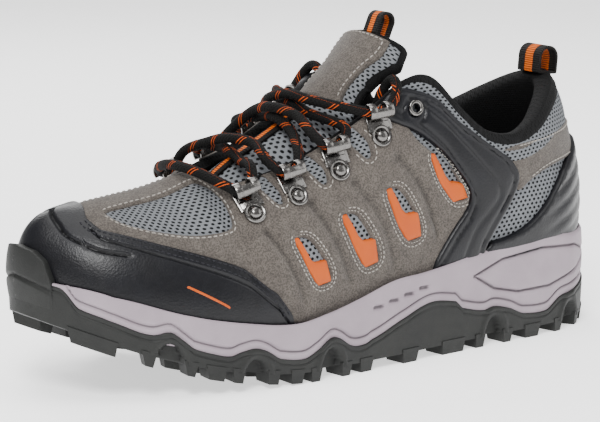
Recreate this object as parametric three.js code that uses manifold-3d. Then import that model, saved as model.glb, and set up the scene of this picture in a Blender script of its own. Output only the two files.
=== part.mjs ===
// A low-cut hiking shoe for the left foot, as an assembly of its separate pieces.
// Millimetres, +Z up. The toe points to -X, the outer (lateral) side faces -Y.
// The origin is on the ground, at the middle of the box round the shoe without its lace.

import * as THREE from 'three';
import { mergeVertices } from 'three/addons/utils/BufferGeometryUtils.js';
import Module from 'manifold-3d';

// ---- Driving dimensions ----

const shoeLength = 300;          // heel to toe over the sole
const soleWidth = 104;           // over the sole at the ball of the foot
const collarHeight = 114;        // collar at the back of the heel, above the ground
const midsoleThickness = 20;     // foam under the heel, between tread and insole board
const toeSpring = 31;            // height of the tread at the toe tip
const clearance = 0.3;           // gap that touching pieces keep

const meshThickness = 1.2;       // spacer mesh of the upper
const insertThickness = 0.7;     // moulded trim in the vents
const suedeThickness = 1.2;
const overlayThickness = 1.4;    // moulded toe cap, side straps and heel cap
const liningThickness = 1.8;     // knit lining laminated to thin foam
const puffThickness = 1.0;       // stiff sheet that keeps the toe box up
const stiffenerThickness = 1.5;  // stiff sheet inside the heel
const collarPadding = 4.5;       // foam in the ankle collar

const lugDepth = 5;              // tread blocks
const treadBase = 3;             // rubber above the tread blocks
const boardThickness = 1.8;      // lasting board
const footbedThickness = 5;
const shankLength = 100;
const shankWidth = 22;
const shankThickness = 1.2;
const wallInset = 10;            // from the sole's edge in to the upper's bottom edge

const tongueThickness = 6;
const patchThickness = 1.4;
const laceDiameter = 4.5;
const plateThickness = 1;        // stamped metal of a lace hook
const rivetRadius = 3.1;
const rivetShank = 1.6;
const ribbonThickness = 1.1;
const tongueLoopWidth = 9;
const heelLoopWidth = 15;
const grommetRadius = 3.6;
const grommetHole = 1.9;
const aglet = { length: 20, radius: 2.1 };

// ---- Last and patterns, drawn for a 300 x 104 x 114 shoe and scaled to the sizes above ----

const scaleX = shoeLength / 300;
const scaleY = soleWidth / 104;
const scaleZ = collarHeight / 114;
const lift = midsoleThickness - 20;

// One row per rib of the upper, from the toe (first) to the heel (last). The two halves of the
// upper share each rib's top: on the ridge of the toe box, then along the throat and the collar.
const ribs = [
  // top: x, middle y, half width, z | sole edge: lateral x, y, medial x, y | handles: out, up, out, down
  [-127, 5, 0, 73, -150, 6, -150, 6, 4, 22, 13, 1.5],
  [-119, 4.5, 0, 74.2, -143, -14, -144, 22, 5, 22, 14, 1.5],
  [-109.5, 4, 0, 75.4, -127, -31.5, -128, 37, 6, 24, 16, 1],
  [-97, 3, 0, 76.8, -103, -43, -104, 46.5, 6, 26, 20, 1],
  [-83, 1.5, 0, 79.2, -80, -49, -80, 50.5, 6, 27, 23, 2],
  [-68, 0, 0, 83.5, -64, -51, -62, 50, 6, 28, 22, 4],
  [-60, 0, 17, 81.5, -52, -51.8, -50, 48.5, 6, 28, 12, 6],
  [-45, 0, 21.5, 85, -38, -52, -36, 46, 6, 30, 11, 9],
  [-28, 0, 23, 90.3, -22, -51, -20, 42, 5, 33, 9, 10],
  [-9, 0, 25, 99.5, -5, -49.3, -4, 37.8, 5, 36, 8, 14],
  [10, 0, 27, 110.5, 14, -47.6, 14, 35.6, 5, 38, 7, 20],
  [27, 0, 28.5, 121.5, 32, -45.6, 32, 34.5, 5, 38, 6, 24],
  [40, 0, 31, 122, 46, -44.4, 46, 34, 6, 36, 5, 24],
  [52, 0, 34.5, 109, 58, -43.4, 58, 34.2, 7, 30, 5, 20],
  [66, 0, 37, 96.5, 72, -42.4, 72, 34.8, 8, 24, 4, 16],
  [82, 0, 36.5, 93, 88, -41.2, 88, 35.6, 8, 22, 4, 14],
  [98, 0, 31.5, 97, 106, -39.4, 106, 35.6, 8, 22, 5, 16],
  [112, 0, 23, 104.5, 124, -34.5, 124, 32, 8, 24, 6, 20],
  [124, 0, 12, 111.5, 141, -20, 141, 20, 7, 26, 8, 24],
  [130, 0, 0, 114, 149, 0, 149, 0, 7, 26, 9, 26],
];
const lastRib = ribs.length - 1;

// Heights along the shoe, as x, z pairs.
const floorPoints = [
  [-150, 44], [-135, 38.5], [-115, 31.5], [-95, 26.5], [-75, 23.5], [-55, 22], [-35, 22],
  [-10, 23.5], [20, 26.5], [50, 29.5], [80, 31.5], [110, 33], [150, 35],
];
const lipPoints = [
  [-150, 51], [-140, 50], [-125, 46], [-95, 37], [-70, 31.5], [-45, 28.5], [-29, 30], [-9, 34],
  [11, 38], [31, 39.5], [58, 43], [91, 47], [123, 45], [150, 44.5],
];
const seamPoints = [
  [-150, 37.5], [-140, 36], [-125, 31.5], [-110, 27], [-90, 20], [-70, 17.5], [-50, 12.5], [-35, 13],
  [-20, 15.5], [-5, 14.5], [15, 19.5], [32, 22], [48, 20], [64, 17], [88, 13.5], [120, 15], [150, 18],
];
const rockerStart = -30;         // the tread lifts off the ground ahead of this x

// ---- Curves and the skin of the upper ----

function catmullRom(a, b, c, d, t) {
  const tt = t * t;
  return 0.5 * (2 * b + (c - a) * t + (2 * a - 5 * b + 4 * c - d) * tt + (3 * b - a - 3 * c + d) * tt * t);
}

function profile(points, x) {
  const last = points.length - 1;
  let i = 0;
  while (i < last - 1 && points[i + 1][0] < x) i += 1;
  const t = THREE.MathUtils.clamp((x - points[i][0]) / (points[i + 1][0] - points[i][0]), 0, 1);
  const z = (k) => points[THREE.MathUtils.clamp(k, 0, last)][1];
  return catmullRom(z(i - 1), z(i), z(i + 1), z(i + 2), t);
}

const smooth = (from, to, value) => THREE.MathUtils.smoothstep(value, from, to);

// Heights in real millimetres, from an x in real millimetres.
const floorZ = (x) => profile(floorPoints, x / scaleX) * scaleZ + lift;
const lipZ = (x) => profile(lipPoints, x / scaleX) * scaleZ + lift;
const seamZ = (x) => profile(seamPoints, x / scaleX);
function groundZ(x) {
  const start = rockerStart * scaleX;
  const toe = Math.max(0, (start - x) / (start + shoeLength / 2));
  const heel = Math.max(0, (x - shoeLength / 2 + 15) / 15);
  return toeSpring * toe ** 1.9 + 3 * heel ** 2;
}

// Row of the rib table at k, mirrored past its ends so that the toe and heel run round smoothly.
function ribValue(column, k, side) {
  const reflect = (i) => {
    if (i < 0) return [-i, -side];
    if (i > lastRib) return [2 * lastRib - i, -side];
    return [i, side];
  };
  const read = (i) => {
    const [row, half] = reflect(i);
    const shift = column >= 4 && column <= 5 && half > 0 ? 2 : 0;
    const sign = column === 2 ? half : 1;
    return ribs[row][column + shift] * sign;
  };
  const i = Math.min(Math.floor(k), lastRib - 1);
  return catmullRom(read(i - 1), read(i), read(i + 1), read(i + 2), k - i);
}

// side is -1 on the lateral half and +1 on the medial half; k runs 0 (toe) to lastRib (heel).
function edgePoint(k, side, inset = 0) {
  const at = (j) => {
    const folded = j < 0 ? -j : j > lastRib ? 2 * lastRib - j : j;
    const half = j < 0 || j > lastRib ? -side : side;
    return new THREE.Vector2(ribValue(4, folded, half) * scaleX, ribValue(5, folded, half) * scaleY);
  };
  const point = at(k);
  const along = at(k + 0.05).sub(at(k - 0.05)).normalize();
  const out = new THREE.Vector2(along.y, -along.x).multiplyScalar(-side);
  return { point: point.addScaledVector(out, -inset), out };
}

function rib(k, side) {
  const { point, out } = edgePoint(k, side, wallInset);
  const [footOut, footUp, topOut, topDown] = [8, 9, 10, 11].map((column) => ribValue(column, k, side));
  const foot = new THREE.Vector3(point.x, point.y, floorZ(point.x));
  const halfWidth = k <= 5 ? 0 : Math.abs(ribValue(2, k, side));
  const top = new THREE.Vector3(
    ribValue(0, k, side) * scaleX,
    (ribValue(1, k, side) + side * halfWidth) * scaleY,
    ribValue(3, k, side) * scaleZ + lift,
  );
  const outward = new THREE.Vector3(out.x, out.y, 0);
  const low = foot.clone().addScaledVector(outward, footOut).add(new THREE.Vector3(0, 0, footUp * scaleZ));
  const high = top.clone().addScaledVector(outward, topOut).add(new THREE.Vector3(0, 0, -topDown * scaleZ));
  return new THREE.CubicBezierCurve3(foot, low, high, top);
}

const foldRib = (k, side) => {
  if (k < 0) return [-k, -side];
  if (k > lastRib) return [2 * lastRib - k, -side];
  return [k, side];
};

function skinNormal(k, h, side) {
  const beside = Math.min(h, 0.98);      // the ribs of the toe box all meet at their tops
  const at = (j) => {
    const [folded, half] = foldRib(j, side);
    return rib(folded, half).getPoint(beside);
  };
  const step = 0.02;
  const along = at(k + step).sub(at(k - step));
  const curve = rib(k, side);
  const up = curve.getPoint(Math.min(1, h + step)).sub(curve.getPoint(Math.max(0, h - step)));
  return along.cross(up).multiplyScalar(-side).normalize();
}

// The first and last ribs belong to both halves, which must read them in the same way.
const sharedSide = (k, side) => (k === 0 || k === lastRib ? -1 : side);

// The skin is a net of flat cells, with lines at whole k and at h in steps of 1 / bandCount, so
// that every layer over it has its facets in the same places and the layers never cut into each other.
const bandCount = 6;
const netNodes = new Map();
function netNode(k, j, half) {
  const side = sharedSide(k, half);
  const key = `${k} ${j} ${side}`;
  if (!netNodes.has(key)) {
    const h = j / bandCount;
    const normal = skinNormal(k, h, side);
    if (j === bandCount && k <= 5) normal.add(skinNormal(k, h, -side)).normalize();
    netNodes.set(key, { point: rib(k, side).getPoint(h), normal });
  }
  return netNodes.get(key);
}

// A point of the skin: k along, h from the bottom edge (0) to the topline (1), offset outwards by
// a number or by a function of k and h.
function skin(k, h, side, offset) {
  const offsetAt = typeof offset === 'function' ? offset : () => offset;
  const column = Math.min(Math.floor(k), lastRib - 1);
  const row = Math.min(Math.floor(h * bandCount), bandCount - 1);
  const corner = (i, j) => {
    const { point, normal } = netNode(column + i, row + j, side);
    return point.clone().addScaledVector(normal, offsetAt(column + i, (row + j) / bandCount));
  };
  const across = h * bandCount - row;
  const low = corner(0, 0).lerp(corner(0, 1), across);
  const high = corner(1, 0).lerp(corner(1, 1), across);
  return low.lerp(high, k - column);
}

// ---- Solids ----

const wasm = await Module();
wasm.setup();

function toSolid(geometry) {
  const bare = geometry.clone();
  bare.deleteAttribute('normal');
  bare.deleteAttribute('uv');
  const merged = mergeVertices(bare, 1e-3);
  const index = [];
  const source = merged.index.array;
  for (let i = 0; i < source.length; i += 3) {
    const [a, b, c] = [source[i], source[i + 1], source[i + 2]];
    if (a !== b && b !== c && c !== a) index.push(a, b, c);
  }
  return new wasm.Manifold(new wasm.Mesh({
    numProp: 3,
    vertProperties: merged.attributes.position.array,
    triVerts: Uint32Array.from(index),
  }));
}

function toGeometry(solid) {
  const { vertProperties, triVerts } = solid.getMesh();
  const geometry = new THREE.BufferGeometry();
  geometry.setAttribute('position', new THREE.BufferAttribute(Float32Array.from(vertProperties), 3));
  geometry.setIndex(new THREE.BufferAttribute(Uint32Array.from(triVerts), 1));
  const flat = geometry.toNonIndexed();
  flat.computeVertexNormals();
  return flat;
}

// Points on a fine grid, so that the two halves of a piece meet exactly.
const snapped = (p) => new THREE.Vector3(...p.toArray().map((v) => Math.round(v * 500) / 500));

// A closed solid between two grids of points of the same size, walled in round their edges.
function between(outer, inner) {
  const rows = outer.length;
  const columns = outer[0].length;
  const points = [...outer.flat(), ...inner.flat()].map(snapped);
  const back = rows * columns;
  const index = [];
  const quad = (a, b, c, d) => index.push(a, b, c, a, c, d);
  for (let i = 0; i < rows - 1; i += 1) {
    for (let j = 0; j < columns - 1; j += 1) {
      const a = i * columns + j;
      quad(a, a + columns, a + columns + 1, a + 1);
      quad(back + a, back + a + 1, back + a + columns + 1, back + a + columns);
    }
  }
  const loop = [];
  for (let j = 0; j < columns - 1; j += 1) loop.push(j);
  for (let i = 0; i < rows - 1; i += 1) loop.push(i * columns + columns - 1);
  for (let j = columns - 1; j > 0; j -= 1) loop.push((rows - 1) * columns + j);
  for (let i = rows - 1; i > 0; i -= 1) loop.push(i * columns);
  loop.forEach((a, n) => {
    const b = loop[(n + 1) % loop.length];
    quad(a, b, back + b, back + a);
  });
  let volume = 0;
  for (let i = 0; i < index.length; i += 3) {
    const [a, b, c] = [points[index[i]], points[index[i + 1]], points[index[i + 2]]];
    volume += a.dot(b.clone().cross(c));
  }
  if (volume < 0) index.reverse();
  const geometry = new THREE.BufferGeometry().setFromPoints(points);
  geometry.setIndex(index);
  return toSolid(geometry);
}

function steps(from, to, count) {
  return Array.from({ length: count + 1 }, (_, i) => from + ((to - from) * i) / count);
}
const bothSides = (build) => build(-1).add(build(1));

// The ends of a range with the net's lines between them, each cell cut into parts.
function netSteps(from, to, parts = 1) {
  const lines = steps(0, lastRib, lastRib * parts).filter((k) => k > from + 0.05 && k < to - 0.05);
  return [from, ...lines, to];
}

// A layer of the upper on one side, between two offsets from the skin.
function layer(side, { from = 0, to = lastRib, low = 0, high = 1, inner, outer, parts = 1 }) {
  const valueAt = (limit, k) => (typeof limit === 'function' ? limit(k) : limit);
  const grid = (offset) => netSteps(from, to, parts).map((k) => (
    steps(0, 1, bandCount).map((h) => {
      const height = THREE.MathUtils.clamp(h, valueAt(low, k), valueAt(high, k));
      return skin(k, height, side, offset);
    })
  ));
  return between(grid(outer), grid(inner));
}

// A block that cuts everything inside an outline drawn on the shoe's side view.
function sideBlock(shape, side) {
  const depth = soleWidth;
  const geometry = new THREE.ExtrudeGeometry(shape, { depth, bevelEnabled: false, curveSegments: 3 });
  geometry.rotateX(Math.PI / 2);
  geometry.scale(scaleX, 1, scaleZ);
  geometry.translate(0, side < 0 ? 0 : depth, lift);
  return toSolid(geometry);
}

function outline(points) {
  return new THREE.Shape(points.map(([x, z]) => new THREE.Vector2(x, z)));
}

// A closed outline with round corners: each corner is cut back and joined by a curve.
function rounded(points, radius) {
  const shape = new THREE.Shape();
  points.forEach(([x, z], i) => {
    const corner = new THREE.Vector2(x, z);
    const before = new THREE.Vector2(...points[(i + points.length - 1) % points.length]);
    const after = new THREE.Vector2(...points[(i + 1) % points.length]);
    const cut = Math.min(radius, corner.distanceTo(before) / 2.2, corner.distanceTo(after) / 2.2);
    const start = corner.clone().add(before.sub(corner).setLength(cut));
    const end = corner.clone().add(after.sub(corner).setLength(cut));
    if (i === 0) shape.moveTo(start.x, start.y);
    else shape.lineTo(start.x, start.y);
    shape.quadraticCurveTo(corner.x, corner.y, end.x, end.y);
  });
  shape.closePath();
  return shape;
}

// ---- Materials ----

const finishes = {
  rubber: { color: '#40423f', roughness: 0.85, metalness: 0 },
  midsoleFoam: { color: '#b0a4aa', roughness: 0.75, metalness: 0 },
  suede: { color: '#7d7670', roughness: 0.95, metalness: 0 },
  mesh: { color: '#8f949c', roughness: 0.9, metalness: 0 },
  overlay: { color: '#26272f', roughness: 0.5, metalness: 0 },
  lining: { color: '#1c1c1e', roughness: 0.95, metalness: 0 },
  foam: { color: '#3a3a3c', roughness: 1, metalness: 0 },
  board: { color: '#c9c3b4', roughness: 0.95, metalness: 0 },
  stiffener: { color: '#d8d4c8', roughness: 0.7, metalness: 0 },
  steel: { color: '#8d9096', roughness: 0.35, metalness: 1 },
  hardware: { color: '#4c4a48', roughness: 0.3, metalness: 1 },
  orange: { color: '#f5820f', roughness: 0.6, metalness: 0 },
  webbing: { color: '#221f1e', roughness: 0.9, metalness: 0 },
  lace: { color: '#211d1b', roughness: 0.9, metalness: 0 },
  agletFilm: { color: '#16161a', roughness: 0.25, metalness: 0 },
};

const shoe = new THREE.Group();

function addMesh(name, solid, finish) {
  const mesh = new THREE.Mesh(toGeometry(solid), new THREE.MeshStandardMaterial(finishes[finish]));
  mesh.name = name;
  shoe.add(mesh);
}

// ---- Sole ----

const floorDrop = 2;             // from the upper's bottom edge down to the foam it stands on
const stack = meshThickness + insertThickness + suedeThickness + overlayThickness + 5 * clearance;
// The sole's middle line, which stops short of the toe and the heel.
const middlePoints = [
  [-112, 3], [-80, 0.7], [-50, -1.6], [-20, -4.5], [0, -5.7], [30, -5.5], [60, -4.6], [100, -2], [112, -1.5],
];
function spine(k) {
  const middle = edgePoint(k, -1).point.add(edgePoint(k, 1).point).multiplyScalar(0.5 / scaleX);
  const x = THREE.MathUtils.clamp(middle.x, middlePoints[0][0], middlePoints.at(-1)[0]);
  return new THREE.Vector2(x * scaleX, profile(middlePoints, x) * scaleY);
}

// A point of the sole on rib k: reach 0 is the given inset from the edge, 1 is the spine.
function solePoint(k, side, inset, reach, z) {
  const { point } = edgePoint(k, sharedSide(k, side), inset);
  const flat = point.lerp(spine(k), reach);
  return new THREE.Vector3(flat.x, flat.y, typeof z === 'function' ? z(flat.x) : z);
}

const treadTop = (x) => groundZ(x) + lugDepth + treadBase;

// Height on the skin where a layer at the given offset meets the sole's lip.
function lipCrossing(k, side, offset) {
  let [low, high] = [0, 0.5];
  for (let n = 0; n < 24; n += 1) {
    const middle = (low + high) / 2;
    const point = skin(k, middle, side, offset);
    if (point.z < lipZ(point.x)) low = middle;
    else high = middle;
  }
  return (low + high) / 2;
}

const seamInside = (x) => Math.min(seamZ(x), floorZ(x) - floorDrop - 1.5);

function soleGrid(side, chain) {
  return steps(0, lastRib, lastRib).map((k) => chain(k, side));
}

function midsole(side) {
  const top = (k) => {
    const crossing = lipCrossing(k, side, stack);
    const wall = [0, 1, 2, bandCount].map((row) => (
      skin(k, Math.min(row / bandCount, crossing), side, stack)
    ));
    const base = (x) => floorZ(x) - floorDrop;
    wall[0].z = Math.min(wall[0].z, base(wall[0].x));
    const rim = solePoint(k, side, 1, 0, (x) => lipZ(x) - 0.5);
    return [solePoint(k, side, wallInset, 1, base), solePoint(k, side, wallInset, 0.5, base), ...wall, rim];
  };
  const bottom = (k) => [
    solePoint(k, side, 14, 1, (x) => treadTop(x) + clearance),
    solePoint(k, side, 14, 0, (x) => treadTop(x) + clearance),
    solePoint(k, side, 9, 0, seamInside),
    solePoint(k, side, 3.5, 0, seamInside),
    solePoint(k, side, 2.8, 0, (x) => (seamInside(x) + seamZ(x)) / 2),
    solePoint(k, side, 2.2, 0, (x) => (seamInside(x) + 2 * seamZ(x)) / 3),
    solePoint(k, side, 0.8, 0, seamZ),
  ];
  return between(soleGrid(side, top), soleGrid(side, bottom));
}

function treadPlate(side) {
  const under = 1.6 * clearance;
  const top = (k) => [
    solePoint(k, side, 14, 1, (x) => treadTop(x) - under),
    solePoint(k, side, 14, 0, (x) => treadTop(x) - under),
    solePoint(k, side, 9, 0, (x) => seamInside(x) - under),
    solePoint(k, side, 3.5, 0, (x) => seamInside(x) - under),
    solePoint(k, side, 0.2, 0, (x) => seamZ(x) - under),
  ];
  const bottom = (k) => [
    solePoint(k, side, 14, 1, (x) => groundZ(x) + lugDepth),
    solePoint(k, side, 14, 0, (x) => groundZ(x) + lugDepth),
    solePoint(k, side, 9, 0, (x) => groundZ(x) + lugDepth),
    solePoint(k, side, 5, 0, (x) => groundZ(x) + lugDepth),
    solePoint(k, side, 1, 0, (x) => groundZ(x) + lugDepth + 1),
  ];
  return between(soleGrid(side, top), soleGrid(side, bottom));
}

// One tread block between two ribs and two reaches in from the edge, tapered to its foot.
function lug(side, from, to, insets) {
  const corner = (k, inset, drop) => {
    const z = (x) => groundZ(x) + (drop ? 0 : lugDepth + 0.6);
    const taper = drop ? 0.8 : 0;
    const inward = inset === insets[0] ? taper : -taper;
    return solePoint(k, side, inset + inward, 0, z);
  };
  const shrink = (to - from) * 0.06;
  const face = (drop) => [
    insets.map((inset) => corner(from + (drop ? shrink : 0), inset, drop)),
    insets.map((inset) => corner(to - (drop ? shrink : 0), inset, drop)),
  ];
  return between(face(false), face(true));
}

function treadBlocks() {
  const blocks = [];
  for (const side of [-1, 1]) {
    for (let k = 0.2; k < lastRib - 0.6; k += 1.55) {
      const underArch = k > 8.8 && k < 12.2;
      if (!underArch) blocks.push(lug(side, k, k + 1.05, [0.9, 15]));
      if (!underArch && k > 3 && k < 16.4) blocks.push(lug(side, k + 0.4, k + 1.3, [20, 29]));
    }
  }
  return blocks;
}

// The flat pad under the heel that the shoe's weight rests on.
const heelPad = { x: 88, y: -1, length: 26, width: 12 };
function heelPadBlock() {
  const geometry = new THREE.BoxGeometry(heelPad.length, heelPad.width, lugDepth + 1);
  geometry.translate(heelPad.x * scaleX, heelPad.y * scaleY, (lugDepth + 1) / 2);
  return toSolid(geometry);
}

const treadBody = bothSides(treadPlate).add(heelPadBlock());
const outsole = treadBlocks().reduce((sum, block) => sum.add(block), treadBody);

function shankPlate(grow) {
  const half = shankWidth / 2 + grow;
  const length = shankLength + 2 * grow;
  const rows = steps(-length / 2, length / 2, 6).map((along) => along + 12 * scaleX);
  const grid = (drop) => rows.map((x) => [-half, half].map((y) => (
    new THREE.Vector3(x, y - 5 * scaleY, floorZ(x) - floorDrop + drop)
  )));
  return between(grid(grow > 0 ? 2 : -clearance), grid(-clearance - shankThickness - grow));
}

addMesh('outsole', outsole, 'rubber');
addMesh('midsole', bothSides(midsole).subtract(shankPlate(clearance)), 'midsoleFoam');
addMesh('shank', shankPlate(0), 'steel');

// ---- Inside the shoe ----

// Places on the net: the room under a piece opens over the cell next to it.
const puffEnd = { k: 4, h: 5 / bandCount };
const stiffenerStart = { k: 15, h: 4 / bandCount };
const paddingStart = { k: 12, h: 4 / bandCount };
const cell = 1 / bandCount;

// Room between mesh and lining for the toe puff, the heel stiffener and the collar padding.
function fill(k, h) {
  const room = (thickness) => thickness + clearance;
  const puff = room(puffThickness)
    * (1 - smooth(puffEnd.k, puffEnd.k + 1, k)) * (1 - smooth(puffEnd.h, 1, h));
  const stiffener = room(stiffenerThickness) * smooth(stiffenerStart.k - 1, stiffenerStart.k, k);
  const padding = room(collarPadding) * smooth(paddingStart.k - 1, paddingStart.k, k)
    * smooth(paddingStart.h - cell, paddingStart.h, h);
  return Math.max(puff, stiffener, padding);
}

const liningOuter = (k, h) => -clearance - fill(k, h);
const liningInner = (k, h) => liningOuter(k, h) - liningThickness;
const boardInset = wallInset + liningThickness + Math.max(puffThickness, stiffenerThickness) + 3 * clearance;

function insideSheet(side, inset, bottom, thickness, rim) {
  const top = (x) => floorZ(x) + bottom + thickness;
  const upper = (k) => [
    solePoint(k, side, inset, 1, top),
    solePoint(k, side, inset + 9, 0, top),
    solePoint(k, side, inset, 0, (x) => top(x) + rim),
  ];
  const lower = (k) => [
    solePoint(k, side, inset, 1, (x) => floorZ(x) + bottom),
    solePoint(k, side, inset + 9, 0, (x) => floorZ(x) + bottom),
    solePoint(k, side, inset + 0.6, 0, (x) => floorZ(x) + bottom),
  ];
  return between(soleGrid(side, upper), soleGrid(side, lower));
}

const boardBottom = clearance - floorDrop;
const footbedBottom = boardBottom + boardThickness + clearance;
const insoleBoard = bothSides((side) => insideSheet(side, boardInset, boardBottom, boardThickness, 0));
const footbed = bothSides((side) => insideSheet(side, boardInset, footbedBottom, footbedThickness, 2));
addMesh('insole_board', insoleBoard, 'board');
addMesh('footbed', footbed, 'lining');

addMesh('lining', bothSides((side) => layer(side, { inner: liningInner, outer: liningOuter })), 'lining');
addMesh('toe_puff', bothSides((side) => layer(side, {
  to: puffEnd.k, low: 0.04, high: puffEnd.h,
  inner: -clearance - puffThickness, outer: -clearance,
})), 'stiffener');
addMesh('heel_stiffener', bothSides((side) => layer(side, {
  from: stiffenerStart.k, low: 0.04, high: stiffenerStart.h - 0.02,
  inner: -clearance - stiffenerThickness, outer: -clearance,
})), 'stiffener');
addMesh('collar_padding', bothSides((side) => layer(side, {
  from: paddingStart.k, low: paddingStart.h, high: 0.985,
  inner: -clearance - collarPadding, outer: -clearance,
})), 'foam');

// ---- Upper ----

// Each layer over the mesh, as its offsets from the skin.
const over = (offset, gap, thickness) => ({ inner: offset + gap, outer: offset + gap + thickness });
const insertLayer = over(meshThickness, clearance, insertThickness);
const suedeLayer = over(insertLayer.outer, clearance, suedeThickness);
const overlayLayer = over(suedeLayer.outer, 2 * clearance, overlayThickness);

addMesh('mesh_upper', bothSides((side) => layer(side, { inner: 0, outer: meshThickness })), 'mesh');

// Toe cap: its back edge falls from the ridge to the sole, further back on the outer side.
const capBack = (side) => (side < 0 ? 7.6 : 6.2);
const capEdge = (k, side) => {
  const ridge = 1.6;
  if (k <= ridge) return 1;
  const t = (k - ridge) / (capBack(side) - ridge);
  return THREE.MathUtils.clamp(0.62 - 0.5 * t ** 1.6 + 0.38 * Math.exp(-7 * t), 0.12, 1);
};
addMesh('toe_cap', bothSides((side) => layer(side, {
  ...overlayLayer, to: capBack(side), high: (k) => capEdge(k, side), parts: 2,
})), 'overlay');

// Rubber bumper that rises over the front of the toe cap.
const bumperLayer = over(overlayLayer.outer, clearance, 1.6);
addMesh('toe_bumper', bothSides((side) => {
  const low = (k) => lipCrossing(k, side, bumperLayer.outer) + 0.03;
  const high = (k) => low(k) + 0.2 * (1 - (k / 1.9) ** 2) + 0.02;
  return layer(side, { ...bumperLayer, to: 1.7, low, high, parts: 2 });
}), 'rubber');

// Vents: slanted openings in the suede quarter, with a moulded trim along their lower front edge.
const vent = { width: 11, height: 30, slant: 14, pitch: 25, firstX: -38, firstZ: 40, rise: 4.6, count: 4 };
function ventOutline(i, grow) {
  const x = vent.firstX + i * vent.pitch;
  const z = vent.firstZ + i * vent.rise;
  const half = vent.width / 2 + grow;
  return rounded([
    [x + vent.slant - half, z - grow],
    [x + vent.slant + half, z - grow],
    [x + half, z + vent.height + grow],
    [x - half, z + vent.height + grow],
  ], 5);
}
function insertOutline(i) {
  const x = vent.firstX + i * vent.pitch;
  const z = vent.firstZ + i * vent.rise;
  const half = vent.width / 2 + 2;
  const bar = 5.5;
  return outline([
    [x + vent.slant - half, z - 2],
    [x + vent.slant + half, z - 2],
    [x + vent.slant + half - 1, z + bar],
    [x + vent.slant - half + bar + 1, z + bar + 1],
    [x - half + bar + 1, z + vent.height * 0.8],
    [x - half + 1, z + vent.height * 0.8],
  ]);
}

const quarterFront = 5;
const quarterTop = (k) => 1 - 0.02 * smooth(5, 6, k);
function quarter(side) {
  let solid = layer(side, {
    ...suedeLayer,
    from: quarterFront,
    to: 12.6,
    high: quarterTop,
  });
  for (let i = 0; i < vent.count; i += 1) solid = solid.subtract(sideBlock(ventOutline(i, 0), side));
  return solid;
}
const sideNames = { '-1': 'lateral', 1: 'medial' };
for (const side of [-1, 1]) {
  const name = sideNames[side];
  addMesh(`${name}_suede_quarter`, quarter(side), 'suede');
  for (let i = 0; i < vent.count; i += 1) {
    const band = layer(side, { ...insertLayer, from: 6, to: 14 });
    addMesh(`${name}_vent_trim_${i + 1}`, band.intersect(sideBlock(insertOutline(i), side)), 'orange');
  }
}

// Suede strip over the ridge of the vamp, from the toe cap to the foot of the throat.
addMesh('vamp_strip', bothSides((side) => layer(side, {
  ...suedeLayer, from: 1.9, to: quarterFront - 0.1, low: (k) => 0.86 + 0.03 * (k - 1.9),
})), 'suede');

// Moulded side strap from the top lace hole down and back to the sole.
const strapOutline = rounded([
  [25, 128], [41, 130], [50, 116], [62, 101], [80, 95], [95, 98],
  [97, 84], [86, 66], [80, 46], [58, 30], [56, 42], [70, 62], [68, 76], [48, 92], [28, 104],
], 4);
const grommetSeat = { k: 11.25, below: 9 };

// Height on the skin at a distance below the topline, measured along the rib.
function heightBelow(k, side, distance) {
  const curve = rib(k, side);
  let [h, walked] = [1, 0];
  while (walked < distance && h > 0) {
    walked += curve.getPoint(h).distanceTo(curve.getPoint(h - 0.004));
    h -= 0.004;
  }
  return h;
}

// A frame on the skin: x along the shoe, y towards the topline, z outwards, at an offset.
function skinFrame(k, side, below, offset) {
  const h = heightBelow(k, side, below);
  const normal = skinNormal(k, h, side);
  const curve = rib(k, side);
  const up = curve.getPoint(h + 0.01).sub(curve.getPoint(h - 0.01));
  const toTop = up.addScaledVector(normal, -up.dot(normal)).normalize();
  const along = toTop.clone().cross(normal).normalize();
  const origin = rib(k, side).getPoint(h).addScaledVector(normal, offset);
  return new THREE.Matrix4().makeBasis(along, toTop, normal).setPosition(origin);
}

function placed(geometry, matrix) {
  return toSolid(geometry.clone().applyMatrix4(matrix));
}

const drum = (radius, height) => new THREE.CylinderGeometry(radius, radius, height, 12).rotateX(Math.PI / 2);

for (const side of [-1, 1]) {
  const name = sideNames[side];
  const seat = skinFrame(grommetSeat.k, side, grommetSeat.below, overlayLayer.outer);
  const bore = placed(drum(grommetHole + 2 * clearance + 1, 40), seat);
  const strap = layer(side, { ...overlayLayer, from: 9, to: 17.6, high: 0.985 })
    .intersect(sideBlock(strapOutline, side))
    .subtract(bore);
  addMesh(`${name}_strap`, strap, 'overlay');
  const flange = placed(drum(grommetRadius, 0.9).translate(0, 0, 1.25), seat);
  const barrel = placed(drum(grommetHole + 1, 2.6).translate(0, 0, 0.2), seat);
  const eye = placed(drum(grommetHole, 12), seat);
  addMesh(`${name}_grommet`, flange.add(barrel).subtract(eye), 'steel');
}

// Suede band round the back of the heel, and the moulded cap below it.
addMesh('heel_band', bothSides((side) => layer(side, {
  ...suedeLayer, from: 15.6, low: 0.7, high: 0.84,
})), 'suede');
addMesh('heel_cap', bothSides((side) => layer(side, {
  ...overlayLayer, from: 17.75, low: 0, high: (k) => 0.32 + 0.3 * smooth(16.5, 19, k),
})), 'overlay');

// ---- Lace hooks ----

const hookPlaces = [
  { k: 6.3, below: 16 }, { k: 7.6, below: 14.5 }, { k: 8.85, below: 14 }, { k: 10.05, below: 12.8 },
];
const hookSize = { reach: 10.5, width: 12, neck: 7.4, lift: 0.9, archWidth: 5 };
const tunnelRadius = laceDiameter / 2 + 0.6;

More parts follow.
